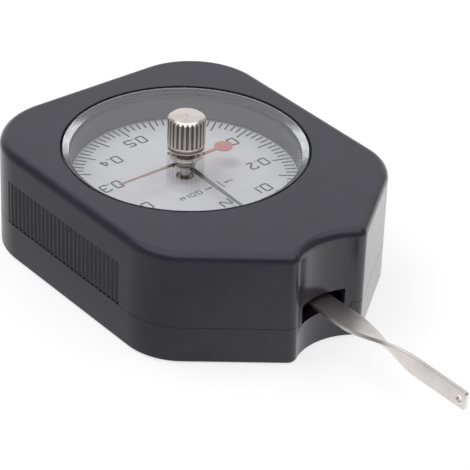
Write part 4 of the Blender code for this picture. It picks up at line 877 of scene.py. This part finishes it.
def rear_shell():
    breaks = (RECESS_HALF,)
    drop = RECESS_BOTTOM - REAR_TOP
    rows = []
    for share in FOOT_SHARES:
        bulge = FOOT_BULGE * math.sin(math.pi * share)
        loop = case_loop(FOOT_CHAMFER * (1 - share) - bulge, 0.0, breaks)
        rows.append(ring_at(loop, max(FOOT_CHAMFER * share - bulge, 0.0)))
    for sine, cosine in quarter(3):
        loop = case_loop(EDGE_ROUND * (1 - cosine), 0.0, breaks)
        rows.append(ring_at(loop, REAR_TOP - EDGE_ROUND * (1 - sine), RECESS_HALF, drop))
    thing = loft("rear_shell", rows)
    lip = loft("lip", [ring_at(case_loop(LIP_INSET), z) for z in (FLOOR_TOP / 2, LIP_TOP)])
    thing = join(thing, lip)
    cavity = loft("cavity", [ring_at(case_loop(WALL), z) for z in (FLOOR_TOP, LIP_TOP + OVERRUN)])
    thing = cut(thing, cavity)
    recess = block("recess", (-RECESS_HALF, -BODY_WIDTH, RECESS_BOTTOM),
                   (RECESS_HALF, SLOT_BACK + GAP, LIP_TOP + OVERRUN))
    thing = cut(thing, recess)
    bosses = [(BOSS_RADIUS, FLOOR_TOP / 2, REAR_TOP - BOSS_DROP, spot) for spot in SCREW_PLACES]
    bosses += [(POST_RADIUS, FLOOR_TOP / 2, POST_TOP, spot) for spot in POST_PLACES]
    thing = join(thing, bars("bosses", bosses, 32))
    drills = [(SCREW_HEAD_RADIUS + GAP, -OVERRUN, SCREW_HEAD_TOP + GAP, spot) for spot in SCREW_PLACES]
    thing = cut(thing, bars("counterbores", drills, 48))
    drills = [(SCREW_RADIUS + GAP, 0.0, BODY_HEIGHT, spot) for spot in SCREW_PLACES]
    drills += [(POST_HOLE, POST_TOP - POST_HOLE_DEPTH, POST_TOP + OVERRUN, spot) for spot in POST_PLACES]
    thing = cut(thing, bars("holes", drills, 32))
    return place(thing, LOOKS["case_plastic"], "housing", "case_plastic", "rear_case")


def case_screw(number, spot):
    profile = [(0.0, SCREW_HEAD_BOTTOM), (SCREW_HEAD_RADIUS, SCREW_HEAD_BOTTOM),
               (SCREW_HEAD_RADIUS, SCREW_HEAD_TOP), (SCREW_RADIUS, SCREW_HEAD_TOP), (SCREW_RADIUS, SCREW_END),
               (0.0, SCREW_END)]
    thing = lathe("screw", rounded(profile, SCREW_ROUND, closed=False), 40, spot)
    half, reach = CROSS_WIDTH / 2, SCREW_HEAD_RADIUS * CROSS_REACH_SHARE
    low, high = SCREW_HEAD_BOTTOM - OVERRUN, SCREW_HEAD_BOTTOM + CROSS_DEPTH
    for x, y in ((reach, half), (half, reach)):
        cross = block("cross", (spot[0] - x, spot[1] - y, low), (spot[0] + x, spot[1] + y, high))
        thing = cut(thing, cross)
    thing.name = f"cross_screw_{number}"
    return place(thing, LOOKS["screw_black"], "housing", "screw_black", f"case_screw_{number}")


# The lens, its seal and the dial's print

def lens_and_seal():
    profile = [(LENS_BORE, LENS_TOP), (LENS_RADIUS, LENS_TOP), (LENS_RADIUS, LENS_TOP - LENS_SHADE_DEPTH),
               (LENS_RADIUS, LENS_TOP - LENS_EDGE_HEIGHT),
               (LENS_RADIUS - LENS_BEVEL, LENS_BOTTOM), (LENS_BORE, LENS_BOTTOM)]
    thing = lathe("clear_lens", rounded(profile, LENS_ROUND), 256)
    place(thing, LOOKS["clear_acrylic"], "housing", "clear_acrylic", "lens")
    rim = LENS_RADIUS - LENS_ROUND / 2
    shade = LENS_TOP - LENS_SHADE_DEPTH

    def on_rim(centre, normal):
        return centre.xy.length > rim and abs(normal.z) < UPRIGHT

    def on_bevel(centre, normal):
        return -LEVEL < normal.z < -UPRIGHT and centre.xy.length > SEAL_INNER / 2

    also(thing, GROUND_EDGE, on_rim)
    # Painted shadow: the top band of the rim gets the black seal rubber, standing in for the shade of the gap
    # round the lens.
    also(thing, LOOKS["seal_rubber"], lambda centre, normal: on_rim(centre, normal) and centre.z > shade)
    also(thing, SATIN_BEVEL, on_bevel)
    profile = [(SEAL_INNER, SEAL_TOP), (SEAL_OUTER, SEAL_TOP), (SEAL_OUTER, SEAL_BOTTOM),
               (SEAL_INNER, SEAL_BOTTOM)]
    thing = lathe("seal_ring", rounded(profile, SEAL_ROUND), 160)
    place(thing, LOOKS["seal_rubber"], "housing", "seal_rubber", "lens_seal")


def ribbon(work, path, width, closed=False):
    """Add a raised line of even width along a path of dial points."""
    count = len(path)
    sides = []
    for i, point in enumerate(path):
        here = Vector(point)
        before = here - Vector(path[i - 1]) if closed or i else None
        after = Vector(path[(i + 1) % count]) - here if closed or i < count - 1 else None
        first = (before or after).normalized()
        second = (after or before).normalized()
        normal = Vector((-first.y - second.y, first.x + second.x)).normalized()
        spread = width / 2 / max(normal.dot(Vector((-first.y, first.x))), 0.35)
        sides.append((here + normal * spread, here - normal * spread))
    rings = []
    for left, right in sides:
        low, high = DIAL_TOP - PRINT_HEIGHT, DIAL_TOP + PRINT_HEIGHT
        corners = [(*left, low), (*left, high), (*right, high), (*right, low)]
        rings.append([work.verts.new(corner) for corner in corners])
    pairs = list(zip(rings, rings[1:]))
    if closed:
        pairs.append((rings[-1], rings[0]))
    for low, high in pairs:
        for i in range(4):
            j = (i + 1) % 4
            work.faces.new([low[i], low[j], high[j], high[i]])
    if not closed:
        work.faces.new(rings[0])
        work.faces.new(rings[-1])


W, H = DIGIT_WIDTH, DIGIT_HEIGHT
GLYPHS = {
    "0": [([(0, 0), (W, 0), (W, H), (0, H)], True)],
    "1": [([(0, 0), (0, H)], False)],
    "2": [([(0, H * 0.78), (0, H), (W, H), (W, H * 0.66), (0, 0), (W, 0)], False)],
    "3": [([(0, H * 0.82), (0, H), (W, H), (W, 0), (0, 0), (0, H * 0.2)], False),
          ([(W * 0.35, H * 0.54), (W, H * 0.54)], False)],
    "4": [([(W * 0.72, 0), (W * 0.72, H), (0, H * 0.3), (W, H * 0.3)], False)],
    "5": [([(W, H), (0, H), (0, H * 0.56), (W, H * 0.56), (W, 0), (0, 0), (0, H * 0.2)], False)],
    "N": [([(0, 0), (0, H), (W, 0), (W, H)], False)],
}
DOT = 0.00036


def glyph(work, letter, at, scale=(1.0, 1.0), stroke=DIGIT_STROKE):
    """Draw one letter on the dial, for a reader who faces the lever's side from behind it."""
    for path, closed in GLYPHS[letter]:
        points = [(at[0] + u * scale[0], at[1] + v * scale[1]) for u, v in path]
        eased = rounded(points, DIGIT_ROUND * scale[1], closed)
        ribbon(work, [(-u, -v) for u, v in eased], stroke, closed)


def dot(work, at, size=DOT):
    u, v = at
    ribbon(work, [(-u + size / 2, -v), (-u - size / 2, -v)], size)


def figure(work, letter, centre):
    """A figure such as 0.3, centred on a dial point."""
    width = {"1": 0.0, "4": W * 0.9}.get(letter, W)
    left = centre[0] - (FIGURE_STEP + width) / 2
    low = centre[1] - H / 2
    glyph(work, "0", (left, low))
    dot(work, (left + FIGURE_POINT, low + DOT / 4))
    glyph(work, letter, (left + FIGURE_STEP, low))


def arrow(work, tail, head, v):
    """A printed arrow along a line of the dial."""
    way = 1 if head > tail else -1
    barb = head - way * ARROW_HEAD
    ribbon(work, [(-tail, -v), (-barb, -v)], ARROW_STROKE)
    points = [(-head, -v), (-barb, -v - ARROW_HALF), (-barb, -v + ARROW_HALF)]
    low, high = ([work.verts.new((*point, z)) for point in points]
                 for z in (DIAL_TOP - PRINT_HEIGHT, DIAL_TOP + PRINT_HEIGHT))
    work.faces.new(low)
    work.faces.new(high)
    for i in range(3):
        j = (i + 1) % 3
        work.faces.new([low[i], low[j], high[j], high[i]])


def dial_print():
    work = bmesh.new()
    for i in range(TICKS):
        angle = 2 * math.pi * i / TICKS
        way = Vector((math.sin(angle), -math.cos(angle)))
        inner = TICK_INNER if i % LONG_TICK_EVERY else LONG_TICK_INNER
        ribbon(work, [way * inner, way * TICK_OUTER], TICK_WIDTH)
    glyph(work, "0", (-W / 2, 0.0163 - H / 2))
    for letter, u, v in (("1", 0.0095, 0.0130), ("2", 0.0146, 0.0050), ("3", 0.0145, -0.0049),
                         ("4", 0.0089, -0.0127)):
        for side in (-1, 1):
            figure(work, letter, (side * u, v))
    figure(work, "5", (0.0001, -0.0163))
    glyph(work, "N", (-0.0011, 0.0130 - 0.00130), (0.0022 / W, 0.0026 / H), 0.00036)
    small = (0.0009 / W, 0.0012 / H)
    low = 0.0069 - 0.0006
    for letter, left in (("0", 0.0014), ("0", 0.0030), ("1", 0.00455), ("N", 0.0055)):
        glyph(work, letter, (left, low), small, SMALL_STROKE)
    dot(work, (0.00262, low + SMALL_DOT / 3), SMALL_DOT)
    arrow(work, -0.0066, -0.0042, 0.0068)
    arrow(work, 0.00035, -0.0016, 0.0068)
    for u in (-0.00357, -0.0021):
        ribbon(work, [(-u, -0.0054), (-u, -0.0082)], SMALL_DOT)
    mesh = bpy.data.meshes.new("dial_print")
    bmesh.ops.recalc_face_normals(work, faces=work.faces)
    work.to_mesh(mesh)
    work.free()
    thing = new_object("dial_print", mesh)
    return place(thing, DIAL_INK, "housing", "pointer_black")


# The lever

def lever_stations():
    corner = [LEVER_CORNER * (1 - math.cos(math.radians(15 * i))) for i in range(7)]
    tail = [-LEVER_TAIL + step for step in corner]
    span = TWIST_END - TWIST_START
    twist = [TWIST_START + span * i / TWIST_STEPS for i in range(TWIST_STEPS + 1)]
    tip = [LEVER_REACH - step for step in reversed(corner)]
    return tail + twist + tip


def lever_half_width(reach):
    share = min(max((reach - TWIST_START) / (TWIST_END - TWIST_START), 0.0), 1.0)
    half = (LEVER_WIDTH + (LEVER_TIP_WIDTH - LEVER_WIDTH) * share) / 2
    from_end = min(reach + LEVER_TAIL, LEVER_REACH - reach)
    if from_end < LEVER_CORNER:
        half -= LEVER_CORNER - math.sqrt(max(LEVER_CORNER ** 2 - (LEVER_CORNER - from_end) ** 2, 0.0))
    return half


def lever_strip():
    stations = lever_stations()
    rows = []
    for reach in stations:
        half = lever_half_width(reach)
        thick = LEVER_THICKNESS / 2
        end = min(reach + LEVER_TAIL, LEVER_REACH - reach)
        if end < LEVER_EDGE:
            thick -= LEVER_EDGE * (1 - math.sqrt(max(1 - (1 - end / LEVER_EDGE) ** 2, 0.0)))
        section = rounded([(half, -thick), (half, thick), (-half, thick), (-half, -thick)], LEVER_EDGE)
        share = min(max((reach - TWIST_START) / (TWIST_END - TWIST_START), 0.0), 1.0)
        turn = math.pi / 2 * smooth(share)
        cosine, sine = math.cos(turn), math.sin(turn)
        rows.append([(x * cosine + z * sine, -PIVOT_REACH - reach, LEVER_MIDDLE - x * sine + z * cosine)
                     for x, z in section])
    thing = loft("lever_strip", rows)
    low, high = LEVER_MIDDLE - OVERRUN, LEVER_MIDDLE + OVERRUN
    holes = [(AXLE_HOLE, low, high, (0.0, -PIVOT_REACH))]
    holes += [(RIVET_HOLE, low, high, (0.0, side * RIVET_OFFSET - PIVOT_REACH)) for side in (-1, 1)]
    thing = cut(thing, bars("lever_holes", holes, 32))
    rim = TIP_HOLE_RIM
    half = LEVER_THICKNESS / 2
    profile = [(0.0, -OVERRUN), (TIP_HOLE_RADIUS + rim + OVERRUN - half, -OVERRUN),
               (TIP_HOLE_RADIUS, -half + rim), (TIP_HOLE_RADIUS, half - rim),
               (TIP_HOLE_RADIUS + rim + OVERRUN - half, OVERRUN), (0.0, OVERRUN)]
    drill = lathe("tip_drill", profile, 40)
    drill.rotation_euler.y = math.pi / 2
    drill.location = (0.0, TIP_HOLE_INSET - LEVER_REACH - PIVOT_REACH, LEVER_MIDDLE)
    thing = cut(thing, drill)
    return place(thing, LOOKS["nickel"], "lever", "nickel", "feeler_lever")


# The knob, its spindle and the parts under the lens

def flute_radius(angle):
    """Radius of the fluted wall at an angle from the middle of a flute."""
    side = KNOB_RADIUS * math.sin(angle)
    if abs(side) > FLUTE_RADIUS:
        return KNOB_RADIUS
    return FLUTE_CENTRE - math.sqrt(FLUTE_RADIUS ** 2 - side ** 2)


def knob_piece():
    pitch = 2 * math.pi / KNOB_FLUTES
    mouth = FLUTE_RADIUS / KNOB_RADIUS
    edge = (FLUTE_RADIUS + FLUTE_EASE) / KNOB_RADIUS
    inside = [mouth * math.sin(math.pi / 2 * (2 * i / (FLUTE_SAMPLES - 1) - 1)) for i in range(FLUTE_SAMPLES)]
    offsets = [-pitch / 2, -edge, *inside, edge]
    angles = [(i + 0.5) * pitch + FLUTE_PHASE + offset for i in range(KNOB_FLUTES) for offset in offsets]
    walls = [flute_radius(offset) for _ in range(KNOB_FLUTES) for offset in offsets]

    def fluted(height, radius):
        return [(min(radius, wall) * math.sin(a), min(radius, wall) * math.cos(a), height)
                for a, wall in zip(angles, walls)]

    def plain(height, radius):
        return [(radius * math.sin(a), radius * math.cos(a), height) for a in angles]

    dimple_bottom = KNOB_TOP - CAP_DIMPLE * DIMPLE_DEPTH_SHARE
    rows = [[(0.0, 0.0, dimple_bottom)], plain(dimple_bottom, CAP_DIMPLE * DIMPLE_FLOOR_SHARE),
            plain(KNOB_TOP, CAP_DIMPLE), plain(KNOB_TOP, KNOB_RADIUS - KNOB_CROWN_WIDTH)]
    for share in CROWN_SHARES:
        drop = KNOB_CROWN_HEIGHT * share ** CROWN_POWER
        rows.append(fluted(KNOB_TOP - drop, KNOB_RADIUS - KNOB_CROWN_WIDTH * (1 - share)))
    rows += [fluted(KNOB_RING_TOP + KNOB_RING_LINE, KNOB_RADIUS),
             plain(KNOB_RING_TOP, KNOB_RADIUS - KNOB_RING_LINE),
             plain(KNOB_RING_TOP - KNOB_RING_LINE, KNOB_RADIUS),
             plain(KNOB_BODY_BOTTOM + KNOB_FOOT, KNOB_RADIUS),
             plain(KNOB_BODY_BOTTOM, KNOB_RADIUS - KNOB_FOOT),
             plain(KNOB_BODY_BOTTOM, KNOB_NECK_RADIUS), plain(KNOB_FLANGE_TOP, KNOB_NECK_RADIUS)]
    edge = KNOB_FLANGE_ROUND
    for sine, cosine in quarter(4):
        rows.append(plain(KNOB_FLANGE_TOP - edge * (1 - cosine), KNOB_FLANGE_RADIUS - edge * (1 - sine)))
    for sine, cosine in quarter(4):
        rows.append(plain(KNOB_BOTTOM + edge * (1 - sine), KNOB_FLANGE_RADIUS - edge * (1 - cosine)))
    rows += [plain(KNOB_BOTTOM, KNOB_RECESS_RADIUS), plain(KNOB_RECESS_TOP, KNOB_RECESS_RADIUS),
             plain(KNOB_RECESS_TOP, KNOB_BORE), plain(KNOB_BORE_TOP, KNOB_BORE),
             [(0.0, 0.0, KNOB_BORE_TOP)]]
    thing = loft("fluted_knob", rows)
    place(thing, TURNED_NICKEL, "reset", "nickel", "knob")
    crown = KNOB_TOP - KNOB_CROWN_HEIGHT * CROWN_EDGE_SHARE

    def on_neck(centre, normal):
        low, high = KNOB_FLANGE_TOP + WELD, KNOB_BODY_BOTTOM + WELD
        return low < centre.z < high and centre.xy.length > KNOB_RECESS_RADIUS

    def on_wall(centre, normal):
        inside = centre.xy.length > KNOB_RADIUS - KNOB_CROWN_WIDTH * CROWN_EDGE_SHARE
        return KNOB_RING_TOP < centre.z < crown and inside

    def in_flute(centre, normal):
        return on_wall(centre, normal) and centre.xy.length < KNOB_RADIUS - FLUTE_EASE

    # Painted shade on the knob's neck.
    also(thing, NECK_SHADE_NICKEL, on_neck)
    # Painted highlight on the lands, which are also rougher.
    also(thing, LAND_HIGHLIGHT_NICKEL, on_wall)
    # Painted shade in the flutes.
    also(thing, FLUTE_SHADE_NICKEL, in_flute)


def turned_parts():
    ease = TURNED_ROUND
    profile = [(0.0, SPINDLE_TOP), (SPINDLE_RADIUS, SPINDLE_TOP), (SPINDLE_RADIUS, SPINDLE_BOTTOM),
               (0.0, SPINDLE_BOTTOM)]
    thing = lathe("turned_spindle", rounded(profile, ease, closed=False), 48)
    place(thing, TURNED_NICKEL, "reset", "nickel", "knob_spindle")
    profile = [(BUSH_BORE, BUSH_HEAD_TOP), (BUSH_HEAD_RADIUS, BUSH_HEAD_TOP),
               (BUSH_HEAD_RADIUS, BUSH_HEAD_BOTTOM), (BUSH_RADIUS, BUSH_HEAD_BOTTOM),
               (BUSH_RADIUS, BUSH_BOTTOM), (BUSH_BORE, BUSH_BOTTOM)]
    thing = lathe("lens_bush", rounded(profile, ease), 64)
    place(thing, TURNED_NICKEL, "housing", "nickel", "spindle_bush")
    bore = BUSH_RADIUS + GAP
    profile = [(bore, NUT_TOP), (NUT_RADIUS, NUT_TOP), (NUT_RADIUS, NUT_GROOVE + NUT_GROOVE_HALF),
               (NUT_RADIUS - NUT_GROOVE_DEPTH, NUT_GROOVE), (NUT_RADIUS, NUT_GROOVE - NUT_GROOVE_HALF),
               (NUT_RADIUS, NUT_BOTTOM), (bore, NUT_BOTTOM)]
    thing = lathe("round_nut", rounded(profile, NUT_ROUND), 72)
    place(thing, TURNED_NICKEL, "housing", "nickel", "bush_nut")
    profile = [(BUSH_BORE, DRAG_HUB_FLANGE_TOP), (DRAG_HUB_FLANGE, DRAG_HUB_FLANGE_TOP),
               (DRAG_HUB_FLANGE, DRAG_HUB_FLANGE_BOTTOM), (DRAG_HUB_SLEEVE, DRAG_HUB_FLANGE_BOTTOM),
               (DRAG_HUB_SLEEVE, SPINDLE_BOTTOM), (BUSH_BORE, SPINDLE_BOTTOM)]
    thing = lathe("drag_hub_turned", rounded(profile, ease), 64)
    place(thing, TURNED_NICKEL, "reset", "nickel", "drag_pointer_hub")
    profile = [(HUB_BORE, HUB_TOP), (HUB_SLEEVE, HUB_TOP), (HUB_SLEEVE, HUB_FLANGE_TOP),
               (HUB_RADIUS, HUB_FLANGE_TOP), (HUB_RADIUS, HUB_FLANGE_BOTTOM),
               (HUB_SLEEVE, HUB_FLANGE_BOTTOM), (HUB_SLEEVE, HUB_BOTTOM), (HUB_BORE, HUB_BOTTOM)]
    thing = lathe("pointer_hub_turned", rounded(profile, ease / 2), 64)
    place(thing, TURNED_NICKEL, "pointer", "nickel", "pointer_hub")


def circle(radius, sides=72, at=(0.0, 0.0)):
    turns = [2 * math.pi * i / sides for i in range(sides)]
    return [(at[0] + radius * math.cos(a), at[1] + radius * math.sin(a)) for a in turns]


def pointers():
    ease = POINTER_ROUND
    root, tip = POINTER_ROOT / 2 - ease, POINTER_TIP / 2 - ease
    outline = [(-root, POINTER_TAIL - ease), (-root, 0.0), (-tip, ease - POINTER_LENGTH),
               (tip, ease - POINTER_LENGTH), (root, 0.0), (root, POINTER_TAIL - ease)]
    cosine, sine = math.cos(POINTER_HEADING), math.sin(POINTER_HEADING)
    outline = [(x * cosine - y * sine, x * sine + y * cosine) for x, y in outline]
    thing = plate("black_pointer", [outline], POINTER_BOTTOM, POINTER_TOP, ease)
    thing = join(thing, plate("eye", [circle(POINTER_EYE - ease)], POINTER_BOTTOM, POINTER_TOP, ease))
    hole = [(POINTER_HOLE, POINTER_BOTTOM - OVERRUN, POINTER_TOP + OVERRUN, (0.0, 0.0))]
    thing = cut(thing, bars("eye_hole", hole, 64))
    place(thing, LOOKS["pointer_black"], "pointer", "pointer_black", "main_pointer")

    ease *= 0.8
    root, tip = DRAG_ROOT / 2 - ease, DRAG_TIP / 2 - ease
    outline = [(-DRAG_LENGTH + ease, -tip), (0.0, -root), (DRAG_DISC_REACH, -root), (DRAG_DISC_REACH, root),
               (0.0, root), (-DRAG_LENGTH + ease, tip)]
    thing = plate("red_pointer", [outline], DRAG_BOTTOM, DRAG_TOP, ease)
    for radius, spot in ((DRAG_EYE, 0.0), (DRAG_DISC_RADIUS, DRAG_DISC_REACH)):
        round_part = plate("disc", [circle(radius - ease, 72, (spot, 0.0))], DRAG_BOTTOM, DRAG_TOP, ease)
        thing = join(thing, round_part)
    half = DRAG_TAB_WIDTH / 2
    low = (-DRAG_TAB_REACH - DRAG_TAB_THICKNESS, -half, DRAG_TAB_BOTTOM)
    thing = join(thing, block("tab", low, (-DRAG_TAB_REACH, half, (DRAG_BOTTOM + DRAG_TOP) / 2)))
    hole = [(DRAG_HOLE, DRAG_BOTTOM - OVERRUN, DRAG_TOP + OVERRUN, (0.0, 0.0))]
    thing = cut(thing, bars("drag_hole", hole, 64))
    place(thing, LOOKS["pointer_red"], "reset", "pointer_red", "drag_pointer")


def dress_frame():
    """Give every CAD node that stays its finished material."""
    slots = {part["node"]: part["material_slot"] for part in FRAME["record"]["subparts"]}
    for node, thing in FRAME["nodes"].items():
        # The front pinion bush gets the darkened brass instead of its slot's brass.
        look = DARKENED_BRASS if node == "pinion_bush_front" else LOOKS[slots[node]]
        if not thing.material_slots:
            thing.data.materials.append(look)
        for held in thing.material_slots:
            held.material = look


# Camera, floor and light

def camera():
    position = Vector((-0.25966, -0.32711, 0.26430))
    azimuth, elevation, roll = math.radians(-39.86), math.radians(31.98), math.radians(2.23)
    back = Vector((math.sin(azimuth) * math.cos(elevation), -math.cos(azimuth) * math.cos(elevation),
                   math.sin(elevation)))
    right = (-back).cross(Vector((0.0, 0.0, 1.0))).normalized()
    up = right.cross(-back)
    tilted_right = right * math.cos(roll) + up * math.sin(roll)
    tilted_up = up * math.cos(roll) - right * math.sin(roll)
    data = bpy.data.cameras.new("camera")
    data.sensor_width = 36.0
    data.lens = 187.26
    data.clip_start = 0.02
    data.clip_end = 20.0
    thing = new_object("camera", data)
    turn = Matrix((tilted_right, tilted_up, back)).transposed().to_4x4()
    thing.matrix_world = Matrix.Translation(position) @ turn
    bpy.context.scene.camera = thing


def floor():
    work = bmesh.new()
    bmesh.ops.create_grid(work, x_segments=1, y_segments=1, size=3.0)
    thing = from_bmesh("floor", work)
    thing.location.z = -0.0001
    material = bpy.data.materials.new("floor_white")
    material.use_nodes = True
    tree = material.node_tree
    tree.nodes.remove(tree.nodes["Principled BSDF"])
    output = tree.nodes["Material Output"]
    plain = tree.nodes.new("ShaderNodeBsdfDiffuse")
    plain.inputs["Color"].default_value = (0.80, 0.80, 0.80, 1.0)
    shade = tree.nodes.new("ShaderNodeBsdfDiffuse")
    shade.inputs["Color"].default_value = (0.30, 0.30, 0.30, 1.0)
    glow = tree.nodes.new("ShaderNodeEmission")
    lit = tree.nodes.new("ShaderNodeAddShader")
    mix = tree.nodes.new("ShaderNodeMixShader")
    paths = tree.nodes.new("ShaderNodeLightPath")
    seen = any_of(tree, paths.outputs["Is Camera Ray"], paths.outputs["Is Glossy Ray"],
                  paths.outputs["Is Transmission Ray"])
    sideways = apart(tree, coordinate(tree))[0]
    mirrored = remap(tree, sideways, 0.33, 1.05, -0.040, 0.005)
    level = mixed(tree, paths.outputs["Is Glossy Ray"], 0.74, mirrored)
    tree.links.new(level, glow.inputs["Strength"])
    tree.links.new(shade.outputs["BSDF"], lit.inputs[0])
    tree.links.new(glow.outputs["Emission"], lit.inputs[1])
    tree.links.new(seen, mix.inputs["Fac"])
    tree.links.new(plain.outputs["BSDF"], mix.inputs[1])
    tree.links.new(lit.outputs["Shader"], mix.inputs[2])
    tree.links.new(mix.outputs["Shader"], output.inputs["Surface"])
    thing.data.materials.append(material)


def world():
    """White to the camera; for reflections a white backdrop behind the gauge and a greyer studio round it."""
    sky = bpy.data.worlds.new("studio")
    bpy.context.scene.world = sky
    sky.use_nodes = True
    tree = sky.node_tree
    ground = tree.nodes["Background"]
    way = coordinate(tree, "Generated")
    backdrop = measure(tree, way, Vector((0.58, 0.72, 0.38)).normalized())
    lobe = remap(tree, backdrop, 0.37, 0.92, 0.55, 0.90, "SMOOTHSTEP")
    overhead = remap(tree, apart(tree, way)[2], 0.0, 1.5, 0.62, 0.90, "SMOOTHSTEP")
    paths = tree.nodes.new("ShaderNodeLightPath")
    white = any_of(tree, paths.outputs["Is Camera Ray"], paths.outputs["Is Transmission Ray"])
    studio = mixed(tree, paths.outputs["Is Glossy Ray"], 0.75, any_of(tree, lobe, overhead))
    feed(tree, ground.inputs["Strength"], mixed(tree, white, studio, 1.0))
    tint = mixed(tree, white, (0.985, 0.975, 1.015, 1.0), (1.0, 1.0, 1.0, 1.0), "RGBA")
    feed(tree, ground.inputs["Color"], tint)


def lamp(name, spot, size, power):
    data = bpy.data.lights.new(name, "AREA")
    data.shape = "DISK"
    data.size = size
    data.energy = power
    thing = new_object(name, data)
    thing.location = spot
    thing.rotation_mode = "QUATERNION"
    thing.rotation_quaternion = (-Vector(spot)).to_track_quat("-Z", "Y")
    thing.visible_glossy = False
    thing.visible_camera = False
    thing.visible_transmission = False


bpy.context.scene.view_settings.view_transform = "Standard"
dress_frame()
front_shell()
rear_shell()
for index, screw_place in enumerate(SCREW_PLACES, 1):
    case_screw(index, screw_place)
lens_and_seal()
dial_print()
lever_strip()
knob_piece()
turned_parts()
pointers()
camera()
floor()
world()
lamp("key", (-0.25, 0.35, 0.85), 0.7, 3.0)
lamp("fill", (0.55, -0.35, 0.75), 0.7, 1.0)
